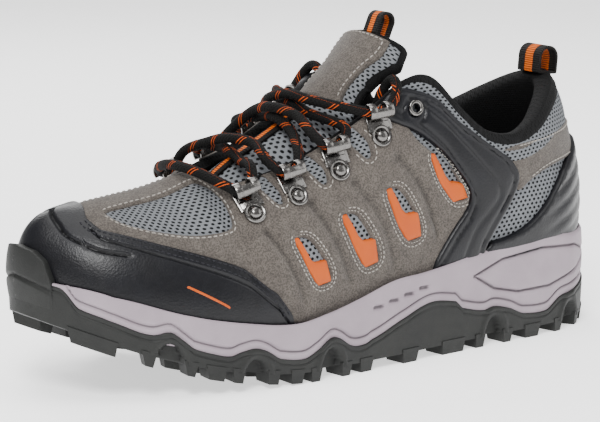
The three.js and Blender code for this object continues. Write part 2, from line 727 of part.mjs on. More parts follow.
function hookGeometry() {
  const plate = new THREE.Shape();
  const [wide, neck] = [hookSize.width / 2, hookSize.neck / 2];
  plate.absarc(0, 0, wide, Math.PI * 0.88, Math.PI * 2.12, false);
  plate.lineTo(neck, hookSize.reach - tunnelRadius - 0.2);
  plate.lineTo(-neck, hookSize.reach - tunnelRadius - 0.2);
  plate.closePath();
  const hole = new THREE.Path().absarc(0, 0, rivetShank + clearance, 0, 2 * Math.PI, true);
  plate.holes.push(hole);
  const flat = new THREE.ExtrudeGeometry(plate, {
    depth: plateThickness, bevelEnabled: false, curveSegments: 5,
  });
  flat.translate(0, 0, hookSize.lift);

  const outer = tunnelRadius + plateThickness;
  const arch = new THREE.Shape();
  arch.moveTo(outer, 0);
  arch.absarc(0, tunnelRadius, outer, 0, Math.PI, false);
  arch.lineTo(-outer, 0);
  arch.lineTo(-tunnelRadius, 0);
  arch.absarc(0, tunnelRadius, tunnelRadius, Math.PI, 0, true);
  arch.lineTo(tunnelRadius, 0);
  arch.closePath();
  const tunnel = new THREE.ExtrudeGeometry(arch, {
    depth: hookSize.archWidth, bevelEnabled: false, curveSegments: 4,
  });
  tunnel.translate(0, 0, -hookSize.archWidth / 2);
  tunnel.applyMatrix4(new THREE.Matrix4().makeBasis(
    new THREE.Vector3(0, 1, 0),
    new THREE.Vector3(0, 0, 1),
    new THREE.Vector3(1, 0, 0),
  ));
  tunnel.translate(0, hookSize.reach, hookSize.lift);
  return { flat, tunnel };
}

function rivetGeometry() {
  const top = hookSize.lift + plateThickness + clearance;
  const points = [
    [0, hookSize.lift], [rivetShank, hookSize.lift], [rivetShank, top], [rivetRadius, top],
    [rivetRadius, top + 0.6], [rivetRadius * 0.7, top + 1.3], [0, top + 1.6],
  ];
  return new THREE.LatheGeometry(points.map(([r, z]) => new THREE.Vector2(r, z)), 10).rotateX(Math.PI / 2);
}

const { flat: hookPlate, tunnel: hookTunnel } = hookGeometry();
const rivetShape = rivetGeometry();
const hookSeat = (side, i) => skinFrame(hookPlaces[i].k, side, hookPlaces[i].below, suedeLayer.outer);
for (const side of [-1, 1]) {
  const name = sideNames[side];
  hookPlaces.forEach((_, i) => {
    const seat = hookSeat(side, i);
    addMesh(`${name}_hook_${i + 1}`, placed(hookPlate, seat).add(placed(hookTunnel, seat)), 'hardware');
    addMesh(`${name}_rivet_${i + 1}`, placed(rivetShape, seat), 'hardware');
  });
}

// ---- Tongue ----

// Stations up the middle of the tongue: x, z of its outer face, half width, drop at the edges.
const tongueStations = [
  [-72, 73, 18, 5], [-60, 80, 21, 8], [-45, 89.5, 24, 12], [-28, 98, 25, 16],
  [-14, 105.5, 25, 17], [-4, 112, 23, 12], [5, 120, 19, 7.5], [14, 128, 19, 7.5],
  [21, 135, 23, 10], [27, 141, 22, 9],
];
const hingeStation = 5;          // the tongue folds here, just above the top crossing of the lace

function tongueFrame(t) {
  const last = tongueStations.length - 1;
  const i = Math.min(Math.floor(t), last - 1);
  const value = (column) => {
    const at = (n) => tongueStations[THREE.MathUtils.clamp(n, 0, last)][column];
    return catmullRom(at(i - 1), at(i), at(i + 1), at(i + 2), t - i);
  };
  return {
    centre: new THREE.Vector3(value(0) * scaleX, 0, value(1) * scaleZ + lift),
    half: value(2) * scaleY,
    drop: value(3),
  };
}

// A point of the tongue's outer face pushed out by an offset; across runs -1 to 1.
function tonguePoint(t, across, offset) {
  const { centre, half, drop } = tongueFrame(t);
  const last = tongueStations.length - 1;
  const ahead = tongueFrame(Math.min(last, t + 0.1)).centre;
  const along = ahead.sub(tongueFrame(Math.max(0, t - 0.1)).centre).normalize();
  const out = new THREE.Vector3(-along.z, 0, along.x);
  const tilt = (2 * drop * across) / half;
  const normal = out.clone().add(new THREE.Vector3(0, tilt, 0)).normalize();
  return centre
    .addScaledVector(out, -drop * across * across)
    .add(new THREE.Vector3(0, half * across, 0))
    .addScaledVector(normal, offset);
}

function tongueSheet(from, to, count, reach, inner, outer, columns = 8) {
  const grid = (offset) => steps(from, to, count).map((t) => (
    steps(-reach, reach, columns).map((across) => tonguePoint(t, across, offset))
  ));
  return between(grid(outer), grid(inner));
}

// The fold is a wedge cut from the lining side, so that the flap can also lean back.
const foldAxis = tongueFrame(hingeStation).centre;
const foldRoom = THREE.MathUtils.degToRad(13);
function foldWedge() {
  const ahead = tongueFrame(hingeStation + 0.5).centre.sub(foldAxis).normalize();
  const inward = new THREE.Vector3(ahead.z, 0, -ahead.x);
  const ray = (angle) => {
    const direction = inward.clone().applyAxisAngle(new THREE.Vector3(0, 1, 0), angle);
    return new THREE.Vector2(foldAxis.x + 50 * direction.x, foldAxis.z + 50 * direction.z);
  };
  const tip = foldAxis.clone().addScaledVector(inward, -1);
  const slit = ahead.clone().multiplyScalar(clearance / 2);
  const shape = new THREE.Shape([
    new THREE.Vector2(tip.x - slit.x, tip.z - slit.z),
    ray(foldRoom),
    ray(-foldRoom),
    new THREE.Vector2(tip.x + slit.x, tip.z + slit.z),
  ]);
  const depth = 2 * soleWidth;
  const geometry = new THREE.ExtrudeGeometry(shape, { depth, bevelEnabled: false });
  geometry.rotateX(Math.PI / 2).translate(0, depth / 2, 0);
  return toSolid(geometry);
}

const lastStation = tongueStations.length - 1;
const wedge = foldWedge();
const lowerTongue = tongueSheet(0, hingeStation, 9, 1, -tongueThickness, 0).subtract(wedge);
const upperTongue = tongueSheet(hingeStation, lastStation, 8, 1, -tongueThickness, 0).subtract(wedge);
const patchLayer = over(0, clearance, patchThickness);
const [patchStart, patchEnd] = [hingeStation + 0.25, lastStation - 0.1];
const patch = tongueSheet(patchStart, patchEnd, 7, 0.72, patchLayer.inner, patchLayer.outer, 6);
addMesh('tongue_lower', lowerTongue, 'mesh');
addMesh('tongue_top', upperTongue, 'mesh');
addMesh('tongue_patch', patch, 'suede');

// Ribbon down the middle of the lower tongue that keeps the lace centred.
const keeperLayer = over(0, 2 * clearance, ribbonThickness);
const keeper = tongueSheet(1.4, hingeStation - 0.25, 7, 0.13, keeperLayer.inner, keeperLayer.outer, 1);
addMesh('keeper_ribbon', keeper, 'orange');

// ---- Pull loops ----

// A loop of ribbon standing on an edge: a teardrop ring that pivots about its foot.
function loopRing(height, opening, width) {
  const foot = 2.2;
  const crown = opening / 2 + ribbonThickness;
  const ring = (inset) => {
    const path = inset > 0 ? new THREE.Path() : new THREE.Shape();
    path.absarc(0, height - crown, crown - inset, 0, Math.PI, false);
    path.absarc(0, foot, foot - inset, Math.PI * 1.15, Math.PI * 1.85, false);
    path.closePath();
    return path;
  };
  const shape = ring(0);
  shape.holes.push(ring(ribbonThickness));
  const geometry = new THREE.ExtrudeGeometry(shape, { depth: width, bevelEnabled: false, curveSegments: 5 });
  return geometry.rotateX(Math.PI / 2).translate(0, width / 2, 0);
}

const loopSeat = (foot, lean) => new THREE.Matrix4().makeRotationY(lean).setPosition(foot);

const tongueTip = tonguePoint(lastStation, 0, -tongueThickness / 2);
const tongueLoopSize = { height: 12, opening: 6.5, lean: 0.42 };
const tongueLoopAxis = tongueTip.clone().add(new THREE.Vector3(1.6, -4, -0.4));
const tongueLoopSeat = loopSeat(tongueLoopAxis, tongueLoopSize.lean);
const tongueLoopRing = loopRing(tongueLoopSize.height, tongueLoopSize.opening, tongueLoopWidth);
addMesh('tongue_loop', placed(tongueLoopRing, tongueLoopSeat), 'webbing');

const heelTop = rib(lastRib, -1).getPoint(1);
const heelLoopSize = { height: 13, opening: 9, lean: 0.1 };
const heelLoopAxis = new THREE.Vector3(heelTop.x - 1.8, 0, heelTop.z + 0.4);
const heelLoopSeat = loopSeat(heelLoopAxis, heelLoopSize.lean);
const heelLoopRing = loopRing(heelLoopSize.height, heelLoopSize.opening, heelLoopWidth);
addMesh('heel_loop', placed(heelLoopRing, heelLoopSeat), 'webbing');

// ---- Lace ----

// One lace from end to end: the outer tail inside the heel, up over the topline to the top hook,
// down and up through the hooks in crosses, and the inner tail down inside the forefoot.
const sameAsDrawn = (x, y, z) => new THREE.Vector3(x * scaleX, y * scaleY, z * scaleZ + lift);
function onFootbed(x, y) {
  const top = floorZ(x * scaleX) + footbedBottom + footbedThickness;
  return new THREE.Vector3(x * scaleX, y * scaleY, top + laceDiameter / 2 + 1.2);
}

// A point by a hook, from the middle of its tunnel: towards the toe, up the skin and out from it.
function byHook(side, i, toeward, up = 0, out = 0) {
  const middle = new THREE.Vector3(0, hookSize.reach, hookSize.lift + tunnelRadius);
  return middle.add(new THREE.Vector3(side * toeward, up, out)).applyMatrix4(hookSeat(side, i - 1));
}

// Through a hook from its heel end (way 1) or its toe end (way -1), and the bend over the edge beside it.
const through = (side, i, way) => [byHook(side, i, -3 * way), byHook(side, i, 3 * way)];
function lead(side, i, toeward) {
  const toEdge = hookPlaces[i - 1].below - hookSize.reach;
  return byHook(side, i, 7.5 * toeward, toEdge + 2.2, -0.9);
}

// Across the tongue to one side: a strand clears the ribbon, or the strand that runs under it.
const [underStrand, overStrand] = [4.9, 9.7];
function across(side, t, height, slant) {
  return [-1, 0, 1].map((step) => (
    tonguePoint(t + step * slant, side * step * 0.4, height + step * step * 0.4)
  ));
}

const laceRoute = [
  ...[[50, 0], [64, 5], [84, 8], [99, 5.5], [106, -2], [101, -11], [82, -15.6], [62, -16.5], [44, -17.5]]
    .map(([x, y]) => onFootbed(x, y)),
  sameAsDrawn(30, -19.2, 41), sameAsDrawn(22, -21, 52), sameAsDrawn(19, -22, 74), sameAsDrawn(18.5, -22, 98),
  sameAsDrawn(18.7, -22, 113), byHook(-1, 4, -10.9, 11.3, -9.5), byHook(-1, 4, -12, 12.6, -4.2),
  byHook(-1, 4, -10.8, 8.5, -0.2), byHook(-1, 4, -7.5, 3.4, 0.9), ...through(-1, 4, 1),
  ...across(1, 4.45, overStrand, -0.15),
  lead(1, 3, -1), ...through(1, 3, 1), lead(1, 3, 1), ...across(-1, 3.6, underStrand, -0.15),
  lead(-1, 2, -1), ...through(-1, 2, 1), lead(-1, 2, 1), ...across(1, 2.2, overStrand, -0.15),
  lead(1, 1, -1), ...through(1, 1, 1), byHook(1, 1, 7.3, 5.8, -1.2),
  tonguePoint(0.75, 0.4, 14.6), tonguePoint(0.7, 0, 14.8), tonguePoint(0.75, -0.4, 14.6),
  byHook(-1, 1, 7.3, 5.8, -1.2), ...through(-1, 1, -1), lead(-1, 1, -1),
  ...across(1, 2.1, underStrand, 0.15), lead(1, 2, 1), ...through(1, 2, -1), lead(1, 2, -1),
  ...across(-1, 3.65, overStrand, 0.1),
  lead(-1, 3, 1), ...through(-1, 3, -1), lead(-1, 3, -1), ...across(1, 4.45, underStrand, 0.15),
  byHook(1, 4, 11, 5.5, -6), ...through(1, 4, -1), byHook(1, 4, -7.5, 3.4, 0.9),
  byHook(1, 4, -10.8, 8.5, -0.2), byHook(1, 4, -12, 12.6, -4.2), byHook(1, 4, -10.9, 11.5, -10.6),
  sameAsDrawn(18.7, 22, 113), sameAsDrawn(18.3, 21.8, 98), sameAsDrawn(17, 20, 80),
  sameAsDrawn(13.5, 15.5, 60), sameAsDrawn(6, 10.5, 43),
  ...[[-6, 7], [-22, 7], [-42, 9], [-60, 12.2], [-78, 11.5], [-90, -1], [-84, -10], [-72, -13.8],
    [-58, -14], [-44, -11.4]].map(([x, y]) => onFootbed(x, y)),
];
const laceSides = 8;

// The tube's rings stand at the route's own points, so that it passes each hook as drawn.
const laceCurve = new THREE.CatmullRomCurve3(laceRoute, false, 'centripetal');
laceCurve.getSpacedPoints = laceCurve.getPoints;
laceCurve.getTangentAt = laceCurve.getTangent;
const laceSection = new THREE.Shape(steps(0, laceSides - 1, laceSides - 1).map((i) => (
  new THREE.Vector2(laceDiameter / 2, 0).rotateAround(new THREE.Vector2(), (i * 2 * Math.PI) / laceSides)
)));
const laceTube = new THREE.ExtrudeGeometry(laceSection, {
  steps: laceRoute.length - 1, extrudePath: laceCurve, bevelEnabled: false,
});
addMesh('lace', toSolid(laceTube), 'lace');

// A film tip on each end of the lace.
[1, 2].forEach((number) => {
  const end = laceCurve.getPoint(number - 1);
  const out = laceCurve.getTangent(number - 1).multiplyScalar(number === 1 ? -1 : 1);
  const tip = new THREE.CylinderGeometry(aglet.radius, aglet.radius, aglet.length, 10);
  const turn = new THREE.Quaternion().setFromUnitVectors(new THREE.Vector3(0, 1, 0), out);
  const middle = end.clone().addScaledVector(out, aglet.length / 2 + clearance);
  const seat = new THREE.Matrix4().makeRotationFromQuaternion(turn).setPosition(middle);
  addMesh(`aglet_${number}`, placed(tip, seat), 'agletFilm');
});

shoe.updateMatrixWorld(true);
export default shoe;
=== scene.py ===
"""Low-cut hiking shoe for the left foot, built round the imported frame.

Sizes are in millimetres, in the frame's axes: the toe points to -X, the outer side faces -Y, +Z is up.
"""
import logging
import math
from dataclasses import dataclass
from enum import Enum
from typing import Callable, Iterable, Sequence

import bpy
import numpy as np
from mathutils import Matrix, Vector
from mathutils.geometry import delaunay_2d_cdt


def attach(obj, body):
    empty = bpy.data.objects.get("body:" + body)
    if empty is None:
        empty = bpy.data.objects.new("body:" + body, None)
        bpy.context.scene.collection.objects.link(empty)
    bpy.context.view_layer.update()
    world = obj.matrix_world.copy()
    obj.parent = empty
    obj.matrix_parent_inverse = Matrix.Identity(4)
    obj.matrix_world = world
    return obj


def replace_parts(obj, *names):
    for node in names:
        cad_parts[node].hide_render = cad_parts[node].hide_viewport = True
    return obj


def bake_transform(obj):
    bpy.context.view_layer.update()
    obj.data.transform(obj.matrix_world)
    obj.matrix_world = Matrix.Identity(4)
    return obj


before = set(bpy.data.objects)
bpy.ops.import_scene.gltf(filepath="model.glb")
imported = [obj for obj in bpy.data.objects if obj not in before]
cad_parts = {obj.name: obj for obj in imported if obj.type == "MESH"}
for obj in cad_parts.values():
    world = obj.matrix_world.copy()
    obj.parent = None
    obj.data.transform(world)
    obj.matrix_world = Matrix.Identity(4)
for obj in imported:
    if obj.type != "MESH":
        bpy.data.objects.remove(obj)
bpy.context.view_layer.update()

log = logging.getLogger("shoe")
MM = 0.001
SIDES = (-1, 1)                       # lateral (outer) half, medial (inner) half
Array = np.ndarray
Point2 = tuple[float, float]


# ---- Finishes ----

class Weave(Enum):
    """Repeat of a fabric's pattern."""

    SPACER_MESH = "spacer mesh"
    LINING_KNIT = "lining knit"


def linear(code: str) -> tuple[float, float, float, float]:
    """Turns an sRGB hex colour into linear values.

    Args:
        code: Colour such as "#8a7f76".

    Returns:
        Red, green, blue and alpha for a socket.
    """
    channels = [int(code[i:i + 2], 16) / 255 for i in (1, 3, 5)]
    values = [c / 12.92 if c <= 0.04045 else ((c + 0.055) / 1.055) ** 2.4 for c in channels]
    return (*values, 1.0)


class Graph:
    """A material's node tree with one principled surface."""

    def __init__(self, name: str) -> None:
        """Makes the material.

        Args:
            name: Material name, which says what it is.
        """
        self.material = bpy.data.materials.new(name)
        self.material.use_nodes = True
        self.tree = self.material.node_tree
        self.surface = self.tree.nodes["Principled BSDF"]

    def add(self, kind: str, settings: dict | None = None, inputs: dict | None = None) -> bpy.types.Node:
        """Adds a node with its settings and links.

        Args:
            kind: Node type without its ShaderNode prefix.
            settings: Attributes of the node.
            inputs: Socket name or number to a constant, or to an output socket that it is linked from.

        Returns:
            The new node.
        """
        node = self.tree.nodes.new("ShaderNode" + kind)
        for key, value in (settings or {}).items():
            setattr(node, key, value)
        self.set(node, inputs or {})
        return node

    def set(self, node: bpy.types.Node, inputs: dict) -> None:
        """Sets or links inputs of a node.

        Args:
            node: The node.
            inputs: Socket name or number to a constant or an output socket.
        """
        for key, value in inputs.items():
            if isinstance(value, bpy.types.NodeSocket):
                self.tree.links.new(value, node.inputs[key])
            else:
                node.inputs[key].default_value = value

    def math(self, operation: str, *values: object) -> bpy.types.NodeSocket:
        """Adds a math node.

        Args:
            operation: Blender's name of the operation.
            values: Constants or sockets.

        Returns:
            The result socket.
        """
        node = self.add("Math", {"operation": operation}, dict(enumerate(values)))
        return node.outputs[0]

    def ramp(self, value: object, low: float, high: float) -> bpy.types.NodeSocket:
        """Maps a value to 0..1 smoothly between two limits.

        Args:
            value: Socket to map.
            low: Value that gives 0.
            high: Value that gives 1.

        Returns:
            The result socket.
        """
        node = self.add("MapRange", {"interpolation_type": "SMOOTHSTEP"},
                        {0: value, 1: low, 2: high, 3: 0.0, 4: 1.0})
        return node.outputs[0]

    def mix(self, factor: object, first: object, second: object) -> bpy.types.NodeSocket:
        """Mixes two colours.

        Args:
            factor: Share of the second.
            first: Colour or socket.
            second: Colour or socket.

        Returns:
            The mixed colour socket.
        """
        node = self.add("Mix", {"data_type": "RGBA"}, {0: factor, 6: first, 7: second})
        return node.outputs[2]

    def noise(self, size: float, detail: float = 3.0, place: bool = True) -> bpy.types.NodeSocket:
        """Adds a noise texture in object space.

        Args:
            size: Size of its features in millimetres.
            detail: Octaves.
            place: True for object coordinates, False for the UV map in millimetres.

        Returns:
            The noise value socket.
        """
        source = self.add("TexCoord").outputs["Object"] if place else self.uv()
        scale = 1 / (size * MM) if place else 1 / size
        node = self.add("TexNoise", None, {"Vector": source, "Scale": scale, "Detail": detail})
        return node.outputs[0]

    def painted_crease_shade(self, colour: object, share: float = 0.6) -> bpy.types.NodeSocket:
        """Darkens a colour in pressed lines: painted shade where the surface folds inwards.

        Args:
            colour: Colour or socket.
            share: How dark they get, 0..1.

        Returns:
            The colour socket.
        """
        point = self.add("NewGeometry").outputs["Pointiness"]
        # painted shade: low pointiness (concave creases) mixes the colour towards near black
        low = self.math("MULTIPLY", self.math("SUBTRACT", 1.0, self.ramp(point, 0.455, 0.5)), share)
        return self.mix(low, colour, (0.003, 0.003, 0.003, 1))

    def uv(self) -> bpy.types.NodeSocket:
        """Returns the UV map socket, in millimetres."""
        return self.add("UVMap", {"uv_map": "UVMap"}).outputs[0]

    def axes(self) -> tuple[bpy.types.NodeSocket, bpy.types.NodeSocket]:
        """Returns the two UV axes as separate sockets."""
        node = self.add("SeparateXYZ", None, {0: self.uv()})
        return node.outputs[0], node.outputs[1]

    def bump(self, height: object, depth: float, before: object = None) -> bpy.types.NodeSocket:
        """Adds a bump node.

        Args:
            height: Height socket, 0..1.
            depth: Height of the relief in millimetres.
            before: Normal socket that this one builds on.

        Returns:
            The normal socket.
        """
        inputs = {"Height": height, "Distance": depth * MM, "Strength": 1.0}
        if before is not None:
            inputs["Normal"] = before
        return self.add("Bump", None, inputs).outputs[0]

    def finish(self, **inputs: object) -> bpy.types.Material:
        """Sets the surface and returns the material.

        Args:
            inputs: Principled sockets, with underscores for spaces.

        Returns:
            The material.
        """
        self.set(self.surface, {key.replace("_", " "): value for key, value in inputs.items()})
        return self.material


@dataclass(frozen=True)
class Suede:
    """Brushed suede: short nap that scatters light, with darker and lighter patches and painted shade in its
    pressed creases.
    """

    name: str
    base: str
    worn: str

    def make(self) -> bpy.types.Material:
        """Returns the suede material."""
        g = Graph(self.name)
        patches = g.ramp(g.noise(5, 4), 0.3, 0.7)
        nap = g.noise(0.7, 5)
        colour = g.mix(patches, linear(self.base), linear(self.worn))
        colour = g.mix(g.ramp(nap, 0.38, 0.62), g.mix(0.55, colour, linear("#1d1a18")), colour)
        fibres = g.bump(nap, 0.22)
        # painted shade darkens the suede's creases
        return g.finish(Base_Color=g.painted_crease_shade(colour, 0.7), Roughness=0.93,
                        Normal=g.bump(g.noise(1.6, 4), 0.2, fibres),
                        Sheen_Weight=0.12, Sheen_Roughness=0.55, Specular_IOR_Level=0.15)


@dataclass(frozen=True)
class Mesh:
    """Spacer mesh: rows of staggered oval holes between twisted threads."""

    name: str
    thread: str
    hole: str
    pitch: float = 2.3
    weave: Weave = Weave.SPACER_MESH

    def make(self) -> bpy.types.Material:
        """Returns the mesh material."""
        g = Graph(self.name)
        u, v = g.axes()
        tall = self.pitch * (0.62 if self.weave is Weave.SPACER_MESH else 0.8)
        row = g.math("DIVIDE", v, tall)
        odd = g.math("MODULO", g.math("FLOOR", row), 2.0)
        shift = g.math("MULTIPLY", g.math("ABSOLUTE", odd), 0.5)
        column = g.math("ADD", g.math("DIVIDE", u, self.pitch), shift)
        across = g.math("SUBTRACT", g.math("FRACT", column), 0.5)
        up = g.math("SUBTRACT", g.math("FRACT", row), 0.5)
        reach = g.math("SQRT", g.math("ADD", g.math("POWER", g.math("MULTIPLY", across, 1.15), 2.0),
                                      g.math("POWER", up, 2.0)))
        wobble = g.math("MULTIPLY", g.math("SUBTRACT", g.noise(1.1, 2), 0.5), 0.22)
        solid = g.ramp(g.math("ADD", reach, wobble), 0.23, 0.36)
        twist = g.math("SINE", g.math("MULTIPLY", g.math("ADD", u, v), 9.0))
        shaded = g.mix(0.35, linear(self.thread), (0, 0, 0, 1))
        thread = g.mix(g.ramp(twist, -1.0, 1.0), shaded, linear(self.thread))
        colour = g.mix(solid, linear(self.hole), thread)
        height = g.math("ADD", solid, g.math("MULTIPLY", twist, 0.12))
        return g.finish(Base_Color=colour, Roughness=0.85, Normal=g.bump(height, 0.55),
                        Specular_IOR_Level=0.2)


@dataclass(frozen=True)
class Moulded:
    """Moulded rubber, foam or film: fine pebbled grain over soft colour drift, with painted shade in its
    creases.
    """

    name: str
    base: str
    edge: str
    roughness: float
    grain: float = 0.8
    depth: float = 0.1

    def make(self) -> bpy.types.Material:
        """Returns the moulded material."""
        g = Graph(self.name)
        place = g.add("TexCoord").outputs["Object"]
        cells = g.add("TexVoronoi", None, {"Vector": place, "Scale": 1 / (self.grain * MM)})
        drift = g.ramp(g.noise(14, 4), 0.3, 0.72)
        colour = g.mix(g.math("MULTIPLY", drift, 0.55), linear(self.base), linear(self.edge))
        rough = g.math("ADD", g.math("MULTIPLY", g.noise(3, 3), 0.16), self.roughness - 0.08)
        # painted shade darkens the creases
        return g.finish(Base_Color=g.painted_crease_shade(colour), Roughness=rough,
                        Normal=g.bump(cells.outputs[0], self.depth),
                        Specular_IOR_Level=0.3)


@dataclass(frozen=True)
class Metal:
    """Plated steel with handling marks."""

    name: str
    base: str
    roughness: float

    def make(self) -> bpy.types.Material:
        """Returns the metal material."""
        g = Graph(self.name)
        scuffs = g.ramp(g.noise(0.8, 6), 0.45, 0.8)
        rough = g.math("ADD", g.math("MULTIPLY", scuffs, 0.18), self.roughness)
        colour = g.mix(g.math("MULTIPLY", scuffs, 0.5), linear(self.base), linear("#9a9894"))
        return g.finish(Base_Color=colour, Roughness=rough, Metallic=1.0,
                        Normal=g.bump(g.noise(0.4, 3), 0.02))


@dataclass(frozen=True)
class Cordage:
    """Round braided cord, black with scattered orange flecks, with painted shade in the grooves between its
    strands.
    """

    name: str
    base: str
    fleck: str

    def make(self) -> bpy.types.Material:
        """Returns the braid material. The UV map runs round the cord, then along it."""
        g = Graph(self.name)
        around, along = g.axes()
        lean = g.math("MULTIPLY", around, 0.9)
        left = g.math("SINE", g.math("MULTIPLY", g.math("ADD", along, lean), 3.6))
        right = g.math("SINE", g.math("MULTIPLY", g.math("SUBTRACT", along, lean), 3.6))
        height = g.math("MAXIMUM", left, right)
        strand = g.ramp(right, 0.45, 0.75)
        spot = g.ramp(g.math("SINE", g.math("MULTIPLY", g.math("SUBTRACT", along, around), 0.42)), 0.72, 0.8)
        flecks = g.math("MULTIPLY", strand, spot)
        # painted shade: the low parts between the braid's strands go towards near black
        dark = g.mix(g.ramp(height, -0.2, 1.0), linear("#040404"), linear(self.base))
        return g.finish(Base_Color=g.mix(flecks, dark, linear(self.fleck)), Roughness=0.85,
                        Normal=g.bump(g.ramp(height, -0.4, 1.0), 0.3), Specular_IOR_Level=0.2)


@dataclass(frozen=True)
class Ribbon:
    """Woven ribbon: a coloured middle between dark borders, ribbed across, with painted shade between the
    ribs. U runs 0..1 across it.
    """

    name: str
    middle: str
    border: str
    share: float = 0.36

    def make(self) -> bpy.types.Material:
        """Returns the ribbon material."""
        g = Graph(self.name)
        u, v = g.axes()
        side = g.math("ABSOLUTE", g.math("SUBTRACT", u, 0.5))
        dark = g.ramp(side, self.share / 2 - 0.015, self.share / 2 + 0.015)
        ribs = g.ramp(g.math("SINE", g.math("MULTIPLY", v, 6.3)), -0.9, 0.6)
        colour = g.mix(dark, linear(self.middle), linear(self.border))
        # painted shade: the grooves between the ribs are darkened
        colour = g.mix(g.math("MULTIPLY", g.math("SUBTRACT", 1.0, ribs), 0.65), colour, linear("#120c08"))
        return g.finish(Base_Color=colour, Roughness=0.75, Normal=g.bump(ribs, 0.25), Specular_IOR_Level=0.2)


class Finishes:
    """Every material of the shoe, made once."""

    def __init__(self) -> None:
        """Builds the materials."""
        self.suede = Suede("brushed suede", "#554f4a", "#5f5953").make()
        self.mesh = Mesh("grey spacer mesh", "#7c7f83", "#060708", 2.9).make()
        self.lining = Mesh("black lining knit", "#101011", "#020202", 1.5, Weave.LINING_KNIT).make()
        self.overlay = Moulded("moulded dark film", "#08080c", "#0d0e14", 0.38, 0.9, 0.06).make()
        self.foam = Moulded("midsole foam", "#8d8189", "#9a8f96", 0.6, 0.7, 0.03).make()
        self.rubber = Moulded("outsole rubber", "#171817", "#222321", 0.6, 0.6, 0.05).make()
        self.trim = Moulded("orange moulded trim", "#ad4700", "#b85200", 0.5, 0.9, 0.03).make()
        self.board = Moulded("insole board", "#c9c3b4", "#b8b1a0", 0.9, 0.5, 0.05).make()
        self.hardware = Metal("gunmetal plating", "#6a6866", 0.2).make()
        self.steel = Metal("nickel plating", "#b9bbbd", 0.22).make()
        self.lace = Cordage("braided lace", "#0c0b0a", "#b84a0a").make()
        self.ribbon = Ribbon("orange and black ribbon", "#d86200", "#0b0a0a").make()
        self.binding = Mesh("black knit binding", "#0d0d0e", "#030303", 1.1, Weave.LINING_KNIT).make()
        self.thread = Moulded("grey sewing thread", "#8f8a83", "#a19c95", 0.8, 0.3, 0.05).make()
        self.dark_thread = Moulded("black sewing thread", "#15151a", "#222228", 0.7, 0.3, 0.05).make()
        self.film = Moulded("lace tip film", "#141417", "#1e1e22", 0.22, 0.9, 0.02).make()


# ---- Making meshes ----


